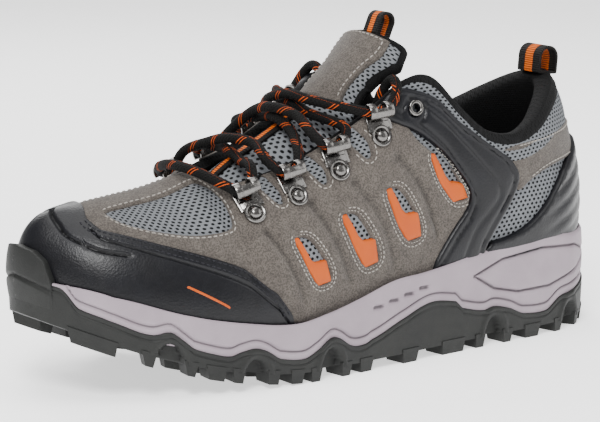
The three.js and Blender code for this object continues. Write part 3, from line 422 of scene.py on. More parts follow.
class Piece:
    """Collects closed surfaces in millimetres and makes one object of them."""

    def __init__(self, name: str, finish: bpy.types.Material, body: str = "shoe") -> None:
        """Starts an empty piece.

        Args:
            name: Object name.
            finish: Its material.
            body: Body of the frame that carries it.
        """
        self.name, self.finish, self.body = name.replace(" ", "-"), finish, body
        self.points: list[Array] = []
        self.faces: list[tuple[int, ...]] = []
        self.uvs: list[Array] = []
        self.count = 0

    def add(self, points: Array, faces: Iterable[Sequence[int]], uvs: Array | None = None) -> None:
        """Adds one closed surface, turned to face outwards.

        Args:
            points: Vertices, n by 3.
            faces: Vertex numbers of each face.
            uvs: One UV per vertex, or None for plain coordinates.
        """
        points = np.asarray(points, float)
        faces = [tuple(f) for f in faces]
        volume = 0.0
        for f in faces:
            a = points[f[0]]
            for i in range(1, len(f) - 1):
                volume += float(np.dot(a, np.cross(points[f[i]], points[f[i + 1]])))
        if volume < 0:
            faces = [f[::-1] for f in faces]
        self.faces += [tuple(i + self.count for i in f) for f in faces]
        self.points.append(points)
        self.uvs.append(np.asarray(uvs, float) if uvs is not None else points[:, [0, 2]])
        self.count += len(points)

    def grid(self, outer: Array, inner: Array, uvs: Array, inner_uvs: Array | None = None) -> None:
        """Adds a solid between two grids of points.

        Args:
            outer: Rows by columns by 3.
            inner: The same for the back.
            uvs: Rows by columns by 2.
            inner_uvs: UVs of the back, or None for the same.
        """
        rows, cols = outer.shape[:2]
        back = rows * cols
        faces = []
        for i in range(rows - 1):
            for j in range(cols - 1):
                a = i * cols + j
                faces.append((a, a + cols, a + cols + 1, a + 1))
                faces.append((back + a, back + a + 1, back + a + cols + 1, back + a + cols))
        rim = [j for j in range(cols - 1)] + [i * cols + cols - 1 for i in range(rows - 1)]
        rim += [(rows - 1) * cols + j for j in range(cols - 1, 0, -1)]
        rim += [i * cols for i in range(rows - 1, 0, -1)]
        for a, b in zip(rim, rim[1:] + rim[:1]):
            faces.append((a, b, back + b, back + a))
        flat = lambda g: g.reshape(-1, g.shape[-1])
        back_uvs = uvs if inner_uvs is None else inner_uvs
        points = np.concatenate([flat(outer), flat(inner)])
        self.add(points, faces, np.concatenate([flat(uvs), flat(back_uvs)]))

    def tube(self, path: Array, section: Array, up: Array | None = None, scale: Array | None = None,
             closed: bool = False) -> None:
        """Sweeps a section along a path.

        Args:
            path: Points of the path.
            section: Points of the section as side, up pairs.
            up: Up direction at each point, or None for a twist-free frame.
            scale: Size factor at each point, or None.
            closed: True when the path runs round to its start.
        """
        path = np.asarray(path, float)
        n, m = len(path), len(section)
        if closed:
            tangent = np.roll(path, -1, 0) - np.roll(path, 1, 0)
        else:
            tangent = np.gradient(path, axis=0)
        tangent /= np.linalg.norm(tangent, axis=1, keepdims=True)
        ups = np.zeros_like(path)
        if up is None:
            guess = np.array([0.0, 0, 1]) if abs(tangent[0][2]) < 0.8 else np.array([1.0, 0, 0])
            for i in range(n):
                guess = guess - tangent[i] * np.dot(guess, tangent[i])
                guess /= np.linalg.norm(guess)
                ups[i] = guess
        else:
            ups = np.broadcast_to(up, path.shape) - tangent * np.sum(up * tangent, axis=1, keepdims=True)
            ups = ups / np.linalg.norm(ups, axis=1, keepdims=True)
        sides = np.cross(tangent, ups)
        factor = np.ones(n) if scale is None else np.asarray(scale)
        section = np.asarray(section, float)
        rings = (path[:, None] + (sides[:, None] * section[None, :, :1] + ups[:, None] * section[None, :, 1:])
                 * factor[:, None, None])
        walked = np.concatenate([[0], np.cumsum(np.linalg.norm(np.diff(path, axis=0), axis=1))])
        girth = np.concatenate([[0], np.cumsum(np.linalg.norm(np.diff(section, axis=0), axis=1))])
        uvs = np.stack(np.broadcast_arrays(girth[None, :], walked[:, None]), -1)
        faces = []
        for i in range(n if closed else n - 1):
            for j in range(m):
                a, b = i * m + j, i * m + (j + 1) % m
                c, d = ((i + 1) % n) * m + (j + 1) % m, ((i + 1) % n) * m + j
                faces.append((a, b, c, d))
        if not closed:
            faces += [tuple(range(m))[::-1], tuple((n - 1) * m + j for j in range(m))]
        self.add(rings.reshape(-1, 3), faces, uvs.reshape(-1, 2))

    def build(self, angle: float = 40, weld: bool = True, ride: bool = True) -> bpy.types.Object:
        """Makes the object, shades it and lets it ride on its body.

        Args:
            angle: Edges sharper than this stay sharp, in degrees.
            weld: True joins points that meet.
            ride: False leaves it free of any body.

        Returns:
            The object.
        """
        mesh = bpy.data.meshes.new(self.name)
        points = np.concatenate(self.points) * MM
        mesh.from_pydata(points.tolist(), [], self.faces)
        layer = mesh.uv_layers.new(name="UVMap")
        uvs = np.concatenate(self.uvs)
        loops = np.empty(len(mesh.loops), dtype=np.int32)
        mesh.loops.foreach_get("vertex_index", loops)
        layer.data.foreach_set("uv", uvs[loops].astype(np.float32).ravel())
        mesh.materials.append(self.finish)
        obj = bpy.data.objects.new(self.name, mesh)
        bpy.context.collection.objects.link(obj)
        deselect()
        obj.select_set(True)
        bpy.context.view_layer.objects.active = obj
        if weld:
            bpy.ops.object.mode_set(mode="EDIT")
            bpy.ops.mesh.select_all(action="SELECT")
            bpy.ops.mesh.remove_doubles(threshold=0.004 * MM)
            bpy.ops.object.mode_set(mode="OBJECT")
        bpy.ops.object.shade_smooth_by_angle(angle=math.radians(angle))
        if ride:
            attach(obj, self.body)
        log.info("%s: %d faces", self.name, len(obj.data.polygons))
        return obj


def deselect() -> None:
    """Deselects every object."""
    for other in bpy.context.selected_objects:
        other.select_set(False)


def settle(obj: bpy.types.Object, name: str, finish: bpy.types.Material, seat: Matrix, node: str) -> None:
    """Names a modelled piece, moves it to its seat and lets it ride on the shoe.

    Args:
        obj: The piece, modelled at the origin.
        name: Its name.
        finish: Its material.
        seat: Where it goes, in millimetres.
        node: CAD node that it stands for.
    """
    obj.name = name.replace(" ", "-")
    obj.data.name = obj.name
    place = seat.copy()
    place.translation = seat.translation * MM
    obj.matrix_world = place
    deselect()
    obj.select_set(True)
    bpy.context.view_layer.objects.active = obj
    bpy.ops.object.transform_apply(location=True, rotation=True, scale=True)
    obj.data.materials.clear()
    obj.data.materials.append(finish)
    bpy.ops.object.shade_smooth_by_angle(angle=math.radians(40))
    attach(obj, "shoe")
    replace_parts(obj, node)


def ring_section(radius: float, sides: int = 12, squash: float = 1.0) -> Array:
    """Returns a round or oval section.

    Args:
        radius: Half its width.
        sides: Points round it.
        squash: Height over width.
    """
    turn = np.linspace(0, 2 * np.pi, sides, endpoint=False)
    return np.stack([radius * np.cos(turn), radius * squash * np.sin(turn)], -1)


def catmull(table: Sequence[Sequence[float]], t: Array) -> Array:
    """Reads a smooth curve through the rows of a table.

    Args:
        table: Rows of values.
        t: Fractional row numbers.

    Returns:
        One row of values for each t.
    """
    rows = np.asarray(table, float)
    t = np.clip(np.asarray(t, float), 0, len(rows) - 1)
    i = np.minimum(t.astype(int), len(rows) - 2)
    f = (t - i)[..., None]
    a, b, c, d = (rows[np.clip(i + n, 0, len(rows) - 1)] for n in (-1, 0, 1, 2))
    square = (2 * a - 5 * b + 4 * c - d) * f ** 2
    cube = (3 * b - a - 3 * c + d) * f ** 3
    return 0.5 * (2 * b + (c - a) * f + square + cube)


def profile(points: Sequence[Point2], x: Array) -> Array:
    """Reads a smooth height profile.

    Args:
        points: Pairs of x and height.
        x: Where to read it.
    """
    xs = [p[0] for p in points]
    return catmull([[p[1]] for p in points], np.interp(x, xs, np.arange(len(xs))))[..., 0]


def spaced(path: Array, step: float, closed: bool = False) -> Array:
    """Returns points at even steps along a polyline.

    Args:
        path: Its corners.
        step: Distance between points.
        closed: True to come back to the start.
    """
    path = np.asarray(path, float)
    if closed:
        path = np.concatenate([path, path[:1]])
    walked = np.concatenate([[0], np.cumsum(np.linalg.norm(np.diff(path, axis=0), axis=1))])
    count = max(2, int(round(walked[-1] / step)))
    at = np.linspace(0, walked[-1], count + 1)
    out = np.stack([np.interp(at, walked, path[:, c]) for c in range(path.shape[1])], -1)
    return out[:-1] if closed else out


def softened(path: Array, rounds: int = 2) -> Array:
    """Cuts the corners of a closed polyline.

    Args:
        path: Its corners.
        rounds: How many times the corners are cut.
    """
    path = np.asarray(path, float)
    for _ in range(rounds):
        after = np.roll(path, -1, 0)
        path = np.stack([path * 0.78 + after * 0.22, path * 0.22 + after * 0.78], 1).reshape(-1, 2)
    return path


def inside(points: Array, loop: Array) -> Array:
    """Tells which points lie inside a closed loop.

    Args:
        points: n by 2.
        loop: Corners of the loop.
    """
    x, y = points[:, 0], points[:, 1]
    result = np.zeros(len(points), bool)
    for (ax, ay), (bx, by) in zip(loop, np.roll(loop, -1, 0)):
        crosses = (ay > y) != (by > y)
        result ^= crosses & (x < (bx - ax) * (y - ay) / (by - ay + 1e-12) + ax)
    return result


def gap_to(points: Array, loop: Array) -> Array:
    """Returns the distance from each point to the nearest point of a dense loop.

    Args:
        points: n by 2 or 3.
        loop: Dense points of the loop.
    """
    best = np.full(len(points), 1e9)
    for start in range(0, len(loop), 64):
        part = loop[start:start + 64]
        best = np.minimum(best, np.linalg.norm(points[:, None] - part[None], axis=2).min(axis=1))
    return best


# ---- The last: the form that every layer of the upper lies on ----

RIBS = (
    # top: x, middle y, half width, z; sole edge: outer x, y, inner x, y; handles: out, up, out, down
    (-127, 5, 0, 73, -150, 6, -150, 6, 4, 22, 13, 1.5),
    (-119, 4.5, 0, 74.2, -143, -14, -144, 22, 5, 22, 14, 1.5),
    (-109.5, 4, 0, 75.4, -127, -31.5, -128, 37, 6, 24, 16, 1),
    (-97, 3, 0, 76.8, -103, -43, -104, 46.5, 6, 26, 20, 1),
    (-83, 1.5, 0, 79.2, -80, -49, -80, 50.5, 6, 27, 23, 2),
    (-68, 0, 0, 83.5, -64, -51, -62, 50, 6, 28, 22, 4),
    (-60, 0, 17, 81.5, -52, -51.8, -50, 48.5, 6, 28, 12, 6),
    (-45, 0, 21.5, 85, -38, -52, -36, 46, 6, 30, 11, 9),
    (-28, 0, 23, 90.3, -22, -51, -20, 42, 5, 33, 9, 10),
    (-9, 0, 25, 99.5, -5, -49.3, -4, 37.8, 5, 36, 8, 14),
    (10, 0, 27, 110.5, 14, -47.6, 14, 35.6, 5, 38, 7, 20),
    (27, 0, 28.5, 121.5, 32, -45.6, 32, 34.5, 5, 38, 6, 24),
    (40, 0, 31, 122, 46, -44.4, 46, 34, 6, 36, 5, 24),
    (52, 0, 34.5, 109, 58, -43.4, 58, 34.2, 7, 30, 5, 20),
    (66, 0, 37, 96.5, 72, -42.4, 72, 34.8, 8, 24, 4, 16),
    (82, 0, 36.5, 93, 88, -41.2, 88, 35.6, 8, 22, 4, 14),
    (98, 0, 31.5, 97, 106, -39.4, 106, 35.6, 8, 22, 5, 16),
    (112, 0, 23, 104.5, 124, -34.5, 124, 32, 8, 24, 6, 20),
    (124, 0, 12, 111.5, 141, -20, 141, 20, 7, 26, 8, 24),
    (130, 0, 0, 114, 149, 0, 149, 0, 7, 26, 9, 26),
)
FLOOR = ((-150, 44), (-135, 38.5), (-115, 31.5), (-95, 26.5), (-75, 23.5), (-55, 22), (-35, 22),
         (-10, 23.5), (20, 26.5), (50, 29.5), (80, 31.5), (110, 33), (150, 35))
LIP = ((-150, 50.5), (-140, 49.5), (-125, 45), (-95, 35.5), (-70, 30), (-46, 26.8), (-29, 28.8), (-9, 33),
       (11, 38), (31, 39.3), (58, 42.8), (91, 47.3), (123, 44.5), (150, 44.5))


@dataclass(frozen=True)
class Offsets:
    """Heights over the last of each layer's outer face."""

    mesh: float = 2.2
    suede: float = 3.7
    overlay: float = 5.3


class Last:
    """Ribs from the sole's edge up to the topline, on both halves of the shoe.

    A place on it is k (0 at the toe, 19 at the heel), h (0 at the sole, 1 at the topline) and a side.
    """

    END = 19
    FINE = 12
    HEIGHTS = 48

    def __init__(self) -> None:
        """Lays out the fine grids of points and normals."""
        self.k = np.linspace(0, self.END, self.END * self.FINE + 1)
        self.h = np.linspace(0, 1, self.HEIGHTS + 1)
        self.points = {side: self._grid(side) for side in SIDES}
        self.normals = {side: self._normals(side) for side in SIDES}
        ridge = self.k <= 5
        top = self.normals[-1][ridge, -1] + self.normals[1][ridge, -1]
        top /= np.linalg.norm(top, axis=-1, keepdims=True)
        for side in SIDES:
            self.normals[side][ridge, -1] = top

    def _table(self, side: int) -> Array:
        """Returns the rib table of one half, run on past its ends."""
        rows = []
        for i in range(-3, self.END + 4):
            mirrored = i < 0 or i > self.END
            row = RIBS[-i if i < 0 else 2 * self.END - i if i > self.END else i]
            half = -side if mirrored else side
            edge = row[4:6] if half < 0 else row[6:8]
            rows.append((row[0], row[1], row[2] * half, row[3], *edge, *row[8:]))
        return np.array(rows, float)

    def edge(self, k: Array, side: int, inset: float | Array = 0.0) -> tuple[Array, Array]:
        """Returns points of the sole's edge and the outward directions there.

        Args:
            k: Places along the shoe.
            side: Half of the shoe.
            inset: Distance in from the edge.
        """
        table = self._table(side)
        k = np.asarray(k, float)
        read = lambda at: catmull(table, at + 3)[..., 4:6]
        along = read(k + 0.05) - read(k - 0.05)
        along /= np.linalg.norm(along, axis=-1, keepdims=True)
        out = np.stack([along[..., 1], -along[..., 0]], -1) * -side
        return read(k) - out * np.asarray(inset)[..., None], out

    def _grid(self, side: int) -> Array:
        """Returns the grid of skin points of one half."""
        v = catmull(self._table(side), self.k + 3)
        p, out = self.edge(self.k, side, 10.0)
        foot = np.stack([p[:, 0], p[:, 1], profile(FLOOR, p[:, 0])], -1)
        half = np.where(self.k <= 5, 0, np.abs(v[:, 2]))
        top = np.stack([v[:, 0], v[:, 1] + side * half, v[:, 3]], -1)
        flat = np.concatenate([out, np.zeros((len(out), 1))], -1)
        low = foot + flat * v[:, 6:7] + np.array([0, 0, 1.0]) * v[:, 7:8]
        high = top + flat * v[:, 8:9] - np.array([0, 0, 1.0]) * v[:, 9:10]
        t = self.h[None, :, None]
        a, b, c, d = (q[:, None] for q in (foot, low, high, top))
        return a * (1 - t) ** 3 + 3 * b * t * (1 - t) ** 2 + 3 * c * t * t * (1 - t) + d * t ** 3

    def _normals(self, side: int) -> Array:
        """Returns the outward normals of one half."""
        mine, other = self.points[side], self.points[-side]
        run = np.concatenate([other[1:2], mine, other[-2:-1]])
        along = run[2:] - run[:-2]
        along[:, -1] = along[:, -2]
        normal = np.cross(along, np.gradient(mine, axis=1)) * -side
        return normal / np.maximum(np.linalg.norm(normal, axis=-1, keepdims=True), 1e-9)

    def at(self, k: Array, h: Array, side: int, offset: float | Array = 0.0) -> tuple[Array, Array]:
        """Returns points over the skin and the normals there.

        Args:
            k: Places along the shoe.
            h: Places up the wall.
            side: Half of the shoe.
            offset: Height over the skin.
        """
        k = np.clip(np.asarray(k, float), 0, self.END) * self.FINE
        h = np.clip(np.asarray(h, float), 0, 1) * self.HEIGHTS
        k, h = np.broadcast_arrays(k, h)
        i = np.minimum(k.astype(int), self.END * self.FINE - 1)
        j = np.minimum(h.astype(int), self.HEIGHTS - 1)
        u, v = (k - i)[..., None], (h - j)[..., None]

        def read(grid: Array) -> Array:
            """Mixes the four grid values round each place."""
            low = grid[i, j] * (1 - u) + grid[i + 1, j] * u
            return low * (1 - v) + (grid[i, j + 1] * (1 - u) + grid[i + 1, j + 1] * u) * v

        normal = read(self.normals[side])
        normal /= np.linalg.norm(normal, axis=-1, keepdims=True)
        return read(self.points[side]) + normal * np.asarray(offset)[..., None], normal

    def seat(self, k: float, side: int, below: float, offset: float) -> Matrix:
        """Returns a frame on the skin: X along the shoe, Y to the topline, Z out.

        Args:
            k: Place along the shoe.
            side: Half of the shoe.
            below: Distance under the topline.
            offset: Height over the skin.
        """
        heights = np.linspace(1, 0, 251)
        column, _ = self.at(np.full(251, k), heights, side)
        walked = np.concatenate([[0], np.cumsum(np.linalg.norm(np.diff(column, axis=0), axis=1))])
        h = float(np.interp(below, walked, heights))
        point, normal = self.at(k, h, side, offset)
        up = self.at(k, h + 0.01, side)[0] - self.at(k, h - 0.01, side)[0]
        up -= normal * np.dot(up, normal)
        up /= np.linalg.norm(up)
        along = np.cross(up, normal)
        frame_matrix = Matrix.Identity(4)
        for column_number, axis in enumerate((along, up, normal, point)):
            for row in range(3):
                frame_matrix[row][column_number] = float(axis[row])
        return frame_matrix


def moved(matrix: Matrix, points: Array) -> Array:
    """Carries points by a matrix.

    Args:
        matrix: Where they go.
        points: n by 3.
    """
    m = np.array(matrix)
    return np.asarray(points, float) @ m[:3, :3].T + m[:3, 3]


# ---- Cutting panels out of sheet ----

class Cutter:
    """Cuts panels and runs stitches over the last."""

    WIDE, TALL = 14.5, 76.0            # rough millimetres per k and per h, for even triangles

    def __init__(self, last: Last) -> None:
        """Keeps the last and the lengths that its UV maps use.

        Args:
            last: The form to cut for.
        """
        self.last = last
        self.along, self.rise = {}, {}
        for side in SIDES:
            grid = last.points[side]
            middle = grid[:, 20]
            walked = np.cumsum(np.linalg.norm(np.diff(middle, axis=0), axis=1))
            self.along[side] = np.concatenate([[0], walked])
            self.rise[side] = np.linalg.norm(np.diff(grid, axis=1), axis=-1).sum(axis=1)

    def uv(self, k: Array, h: Array, side: int) -> Array:
        """Returns UVs in millimetres.

        Args:
            k: Places along the shoe.
            h: Places up the wall.
            side: Half of the shoe.
        """
        return np.stack([np.interp(k, self.last.k, self.along[side]) * -side,
                         h * np.interp(k, self.last.k, self.rise[side])], -1)

    def panel(self, piece: Piece, side: int, outline: Sequence[Point2], low: float, high: float,
              holes: Sequence[Sequence[Point2]] = (), pitch: float = 2.4, bulge: float = 0.0,
              seam: Callable[[Array], Array] | None = None,
              relief: Callable[[Array, Array], Array] | None = None, corners: int = 2,
              welt: float = 0.0) -> None:
        """Adds a panel of even thickness with rounded edges.

        Args:
            piece: Receives it.
            side: Half of the shoe.
            outline: Corners as k, h pairs.
            low: Height of its back over the skin.
            high: Height of its face.
            holes: Outlines of its holes.
            pitch: Distance between its inner points.
            bulge: How far its middle stands out.
            seam: Tells which outline points keep the full height.
            relief: Depth of grooves at each k, h.
            corners: How many times corners are cut.
            welt: Depth of a line pressed inside the edge.
        """
        scale = np.array([self.WIDE, self.TALL])
        loops = [spaced(softened(np.array(outline) * scale, corners), 1.1, True)]
        loops += [spaced(softened(np.array(loop) * scale, 1), 1.1, True) for loop in holes]
        edge = np.concatenate([loop for loop in loops])
        lifted = np.zeros(len(edge), bool) if seam is None else seam(edge / scale)
        dense = edge[~lifted]
        lo, hi = edge.min(axis=0), edge.max(axis=0)
        xs, ys = np.arange(lo[0], hi[0], pitch), np.arange(lo[1], hi[1], pitch * 0.87)
        gx, gy = np.meshgrid(xs, ys)
        gx = gx + (np.arange(len(ys)) % 2 * pitch / 2)[:, None]
        inner = np.stack([gx.ravel(), gy.ravel()], -1)
        rows = [inner]
        for loop in loops:
            run = np.roll(loop, -1, 0) - np.roll(loop, 1, 0)
            side_way = np.stack([run[:, 1], -run[:, 0]], -1) / np.linalg.norm(run, axis=1, keepdims=True)
            rows += [loop + side_way * shift for shift in (-0.9, -0.4, 0.4, 0.9)]
        points = np.concatenate(rows)
        keep = inside(points, loops[0])
        for loop in loops[1:]:
            keep &= ~inside(points, loop)
        points = points[keep]
        gap = gap_to(points, edge)
        near = np.concatenate([np.zeros(keep[:len(inner)].sum(), bool),
                               np.ones(keep[len(inner):].sum(), bool)])
        points = points[(near & (gap > 0.36)) | (~near & (gap > 1.5))]
        start, edges = 0, []
        for loop in loops:
            edges += [(start + i, start + (i + 1) % len(loop)) for i in range(len(loop))]
            start += len(loop)
        flat = np.concatenate([edge, points])
        result = delaunay_2d_cdt([Vector(p) for p in flat], edges, [], 0, 1e-4)
        plane = np.array([tuple(v) for v in result[0]])
        faces = np.array([f for f in result[2] if len(f) == 3])
        centres = plane[faces].mean(axis=1)
        good = inside(centres, loops[0])
        for loop in loops[1:]:
            good &= ~inside(centres, loop)
        faces = faces[good]
        place = plane / scale
        gap = gap_to(plane, dense)
        rounding = np.sqrt(np.clip(1 - (1 - np.clip(gap / 1.1, 0, 1)) ** 2, 0, 1))
        height = low + (high - low) * (0.35 + 0.65 * rounding)
        height = height + bulge * np.clip(gap / 7, 0, 1) ** 0.7
        height = height - welt * np.exp(-((gap - 3.2) / 0.7) ** 2)
        if relief is not None:
            height = height - relief(place[:, 0], place[:, 1]) * np.clip(gap / 2, 0, 1)
        top, _ = self.last.at(place[:, 0], place[:, 1], side, height)
        bottom, _ = self.last.at(place[:, 0], place[:, 1], side, np.full(len(place), low))
        count = len(plane)
        uses: dict[tuple[int, int], int] = {}
        for a, b, c in faces:
            for pair in ((a, b), (b, c), (c, a)):
                uses[pair] = uses.get(pair, 0) + 1
        rim = [pair for pair in uses if (pair[1], pair[0]) not in uses]
        shell = [tuple(f) for f in faces] + [tuple(i + count for i in f[::-1]) for f in faces]
        shell += [(b, a, a + count, b + count) for a, b in rim]
        uvs = self.uv(place[:, 0], place[:, 1], side)
        used = np.unique(np.array([i for f in shell for i in f]))
        number = np.full(2 * count, -1)
        number[used] = np.arange(len(used))
        every = np.concatenate([top, bottom])[used]
        piece.add(every, [tuple(number[list(f)]) for f in shell], np.concatenate([uvs, uvs])[used])

    def stitches(self, piece: Piece, side: int, line: Sequence[Point2], height: float,
                 pitch: float = 2.7, length: float = 1.9, radius: float = 0.3, closed: bool = False,
                 inset: float = 0.0) -> None:
        """Runs a row of stitches along a line.

        Args:
            piece: Receives them.
            side: Half of the shoe.
            line: Corners as k, h pairs.
            height: Height of the sheet they lie on.
            pitch: Distance between stitches.
            length: Length of each.
            radius: Half the thickness of the thread.
            closed: True to run right round.
            inset: Sideways shift to the left of the line.
        """
        scale = np.array([self.WIDE, self.TALL])
        corners = np.array(line) * scale
        if closed:
            corners = softened(corners)
        else:
            corners = catmull(corners, np.linspace(0, len(corners) - 1, 12 * len(corners)))
        fine = spaced(corners, 0.5, closed)
        if inset:
            run = np.gradient(fine, axis=0)
            across = np.stack([-run[:, 1], run[:, 0]], -1) / np.linalg.norm(run, axis=1, keepdims=True)
            fine = fine + across * inset
        place = fine / scale
        points, normals = self.last.at(place[:, 0], place[:, 1], side, np.full(len(place), height))
        sew(piece, points, normals, pitch, length, radius)


def sew(piece: Piece, points: Array, normals: Array, pitch: float = 2.7, length: float = 1.9,
        radius: float = 0.3) -> None:
    """Lays separate stitches along a line in space.

    Args:
        piece: Receives them.
        points: Dense points of the line.
        normals: Surface normals there.
        pitch: Distance between stitches.
        length: Length of each.
        radius: Half the thickness of the thread.
    """
    walked = np.concatenate([[0], np.cumsum(np.linalg.norm(np.diff(points, axis=0), axis=1))])
    read = lambda grid, at: np.array([np.interp(at, walked, grid[:, c]) for c in range(3)])
    turn = np.linspace(0, 2 * np.pi, 5, endpoint=False)
    for middle in np.arange(pitch, walked[-1] - length, pitch):
        a, b = read(points, middle - length / 2), read(points, middle + length / 2)
        normal = read(normals, middle)
        way = (b - a) / np.linalg.norm(b - a)
        flank = np.cross(way, normal)
        rings = []
        for at, size, lift in ((-0.5, 0.45, -0.15), (-0.3, 1.0, 0.12), (0.3, 1.0, 0.12), (0.5, 0.45, -0.15)):
            centre = (a + b) / 2 + way * at * length + normal * lift
            spread = np.cos(turn)[:, None] * flank + np.sin(turn)[:, None] * normal
            rings.append(centre + radius * size * spread)
        faces = [(i * 5 + j, i * 5 + (j + 1) % 5, i * 5 + 5 + (j + 1) % 5, i * 5 + 5 + j)
                 for i in range(3) for j in range(5)]
        faces += [(4, 3, 2, 1, 0), (15, 16, 17, 18, 19)]
        piece.add(np.concatenate(rings), faces)


# ---- Studio ----

@dataclass
class Studio:
    """Camera, pale floor and soft lights."""

    target: tuple[float, float, float] = (0, 0, 50)
    azimuth: float = -36
    elevation: float = 11.2
    distance: float = 1300
    lens: float = 175.5
    shift: Point2 = (-0.0233, 0.0467)

    def build(self) -> None:
        """Sets up the camera, floor, lights and world."""
        a, e = math.radians(self.azimuth), math.radians(self.elevation)
        back = Vector((math.sin(a) * math.cos(e), -math.cos(a) * math.cos(e), math.sin(e)))
        data = bpy.data.cameras.new("camera")
        data.lens, data.sensor_width = self.lens, 36
        data.shift_x, data.shift_y = self.shift
        data.dof.use_dof = False
        camera = bpy.data.objects.new("camera", data)
        camera.location = (Vector(self.target) + back * self.distance) * MM
        camera.rotation_euler = back.to_track_quat("Z", "Y").to_euler()
        bpy.context.collection.objects.link(camera)
        bpy.context.scene.camera = camera
        self._floor()
        self._lamp("key light", (-700, -700, 1000), 450, 20)
        self._lamp("fill light", (900, -700, 600), 900, 6)
        self._lamp("rim light", (200, 900, 800), 700, 9)
        self._lamp("top light", (-100, 0, 1300), 900, 9)
        world = bpy.data.worlds.new("studio world")
        world.use_nodes = True
        world.node_tree.nodes["Background"].inputs[0].default_value = (1, 1, 1, 1)
        world.node_tree.nodes["Background"].inputs[1].default_value = 0.5
        bpy.context.scene.world = world

    def _floor(self) -> None:
        """Lays the floor."""
        deselect()
        bpy.ops.mesh.primitive_plane_add(size=12, location=(0, 0, 0))
        floor = bpy.context.active_object
        floor.name = "studio-floor"
        g = Graph("white floor")
        white = g.finish(Base_Color=linear("#ffffff"), Roughness=0.9, Emission_Color=(1, 1, 1, 1),
                         Emission_Strength=1.0)
        floor.data.materials.append(white)

    def _lamp(self, name: str, place: tuple[float, float, float], size: float, power: float) -> None:
        """Adds an area light that faces the shoe.

        Args:
            name: Light name.
            place: Where it stands.
            size: Width of its square.
            power: Watts.
        """
        data = bpy.data.lights.new(name, "AREA")
        data.size, data.energy = size * MM, power
        lamp = bpy.data.objects.new(name, data)
        lamp.location = Vector(place) * MM
        lamp.rotation_euler = (Vector(place) - Vector(self.target)).to_track_quat("Z", "Y").to_euler()
        bpy.context.collection.objects.link(lamp)


# ---- Upper ----

CAP_EDGE = ((1.0, 1.0), (1.3, 0.93), (1.5, 0.84), (1.62, 0.71), (1.96, 0.6), (2.62, 0.545), (3.33, 0.485),
            (4.08, 0.42), (5.04, 0.325), (6.0, 0.225), (6.46, 0.11), (6.6, 0.02))
VAMP = ((2.1, 0.8), (2.3, 0.72), (2.55, 0.655), (3.2, 0.59), (3.95, 0.55), (4.9, 0.535), (5.3, 0.57),
        (5.5, 0.66), (5.62, 0.78), (5.5, 0.87), (5.0, 0.9), (4.0, 0.865), (3.0, 0.84))
WINDOWS = (
    ((6.7, 0.985), (6.82, 0.86), (7.02, 0.72), (7.18, 0.7), (7.25, 0.79), (7.15, 0.9), (7.08, 0.985)),
    ((8.0, 0.985), (8.2, 0.84), (8.36, 0.72), (8.5, 0.7), (8.56, 0.79), (8.42, 0.9), (8.32, 0.985)),
    ((9.15, 0.985), (9.4, 0.82), (9.62, 0.72), (9.74, 0.735), (9.72, 0.83), (9.55, 0.92), (9.45, 0.985)),
)
VENTS = (
    ((7.02, 0.485), (7.45, 0.47), (7.72, 0.37), (7.95, 0.255), (7.92, 0.205), (7.48, 0.205), (7.24, 0.3)),
    ((8.56, 0.495), (8.98, 0.48), (9.22, 0.38), (9.46, 0.265), (9.46, 0.21), (9.06, 0.205), (8.8, 0.31)),
    ((9.88, 0.525), (10.24, 0.51), (10.52, 0.42), (10.82, 0.3), (10.84, 0.25), (10.38, 0.25), (10.1, 0.345)),
    ((11.42, 0.6), (11.9, 0.585), (12.3, 0.54), (12.8, 0.475), (12.88, 0.435), (12.2, 0.38), (11.68, 0.465)),
)
TRIMS = (
    ((7.0, 0.49), (7.2, 0.485), (7.4, 0.345), (7.5, 0.325), (7.88, 0.315), (7.97, 0.2), (7.47, 0.2),
     (7.22, 0.3)),
    ((8.54, 0.5), (8.75, 0.495), (8.98, 0.36), (9.1, 0.33), (9.44, 0.32), (9.49, 0.205), (9.05, 0.2),
     (8.78, 0.31)),
    ((9.86, 0.53), (10.07, 0.525), (10.3, 0.4), (10.42, 0.37), (10.8, 0.36), (10.87, 0.245), (10.37, 0.245),
     (10.08, 0.345)),
    ((11.4, 0.605), (11.64, 0.6), (11.98, 0.5), (12.15, 0.475), (12.75, 0.51), (12.93, 0.44), (12.2, 0.37),
     (11.66, 0.46)),
)
STRAP = ((10.15, 0.96), (10.3, 0.99), (10.6, 0.998), (10.9, 0.97), (11.46, 0.91), (12.58, 0.86),
         (13.67, 0.9), (14.2, 0.88),
         (14.62, 0.82), (14.9, 0.7), (14.85, 0.62), (14.5, 0.48), (14.0, 0.33), (13.58, 0.18), (13.4, 0.04),
         (11.2, 0.04), (11.3, 0.12), (11.58, 0.17), (12.04, 0.24), (12.7, 0.35), (13.0, 0.45), (12.88, 0.52),
         (12.29, 0.57), (11.58, 0.64), (10.75, 0.76), (10.3, 0.86))
DARTS = (
    ((6.38, 0.56), (6.55, 0.46), (6.75, 0.33), (7.0, 0.15)),
    ((7.9, 0.64), (8.1, 0.5), (8.32, 0.37), (8.62, 0.15)),
    ((9.15, 0.64), (9.4, 0.52), (9.68, 0.39), (10.0, 0.15)),
    ((10.4, 0.65), (10.75, 0.53), (11.1, 0.41), (11.5, 0.22)),
)


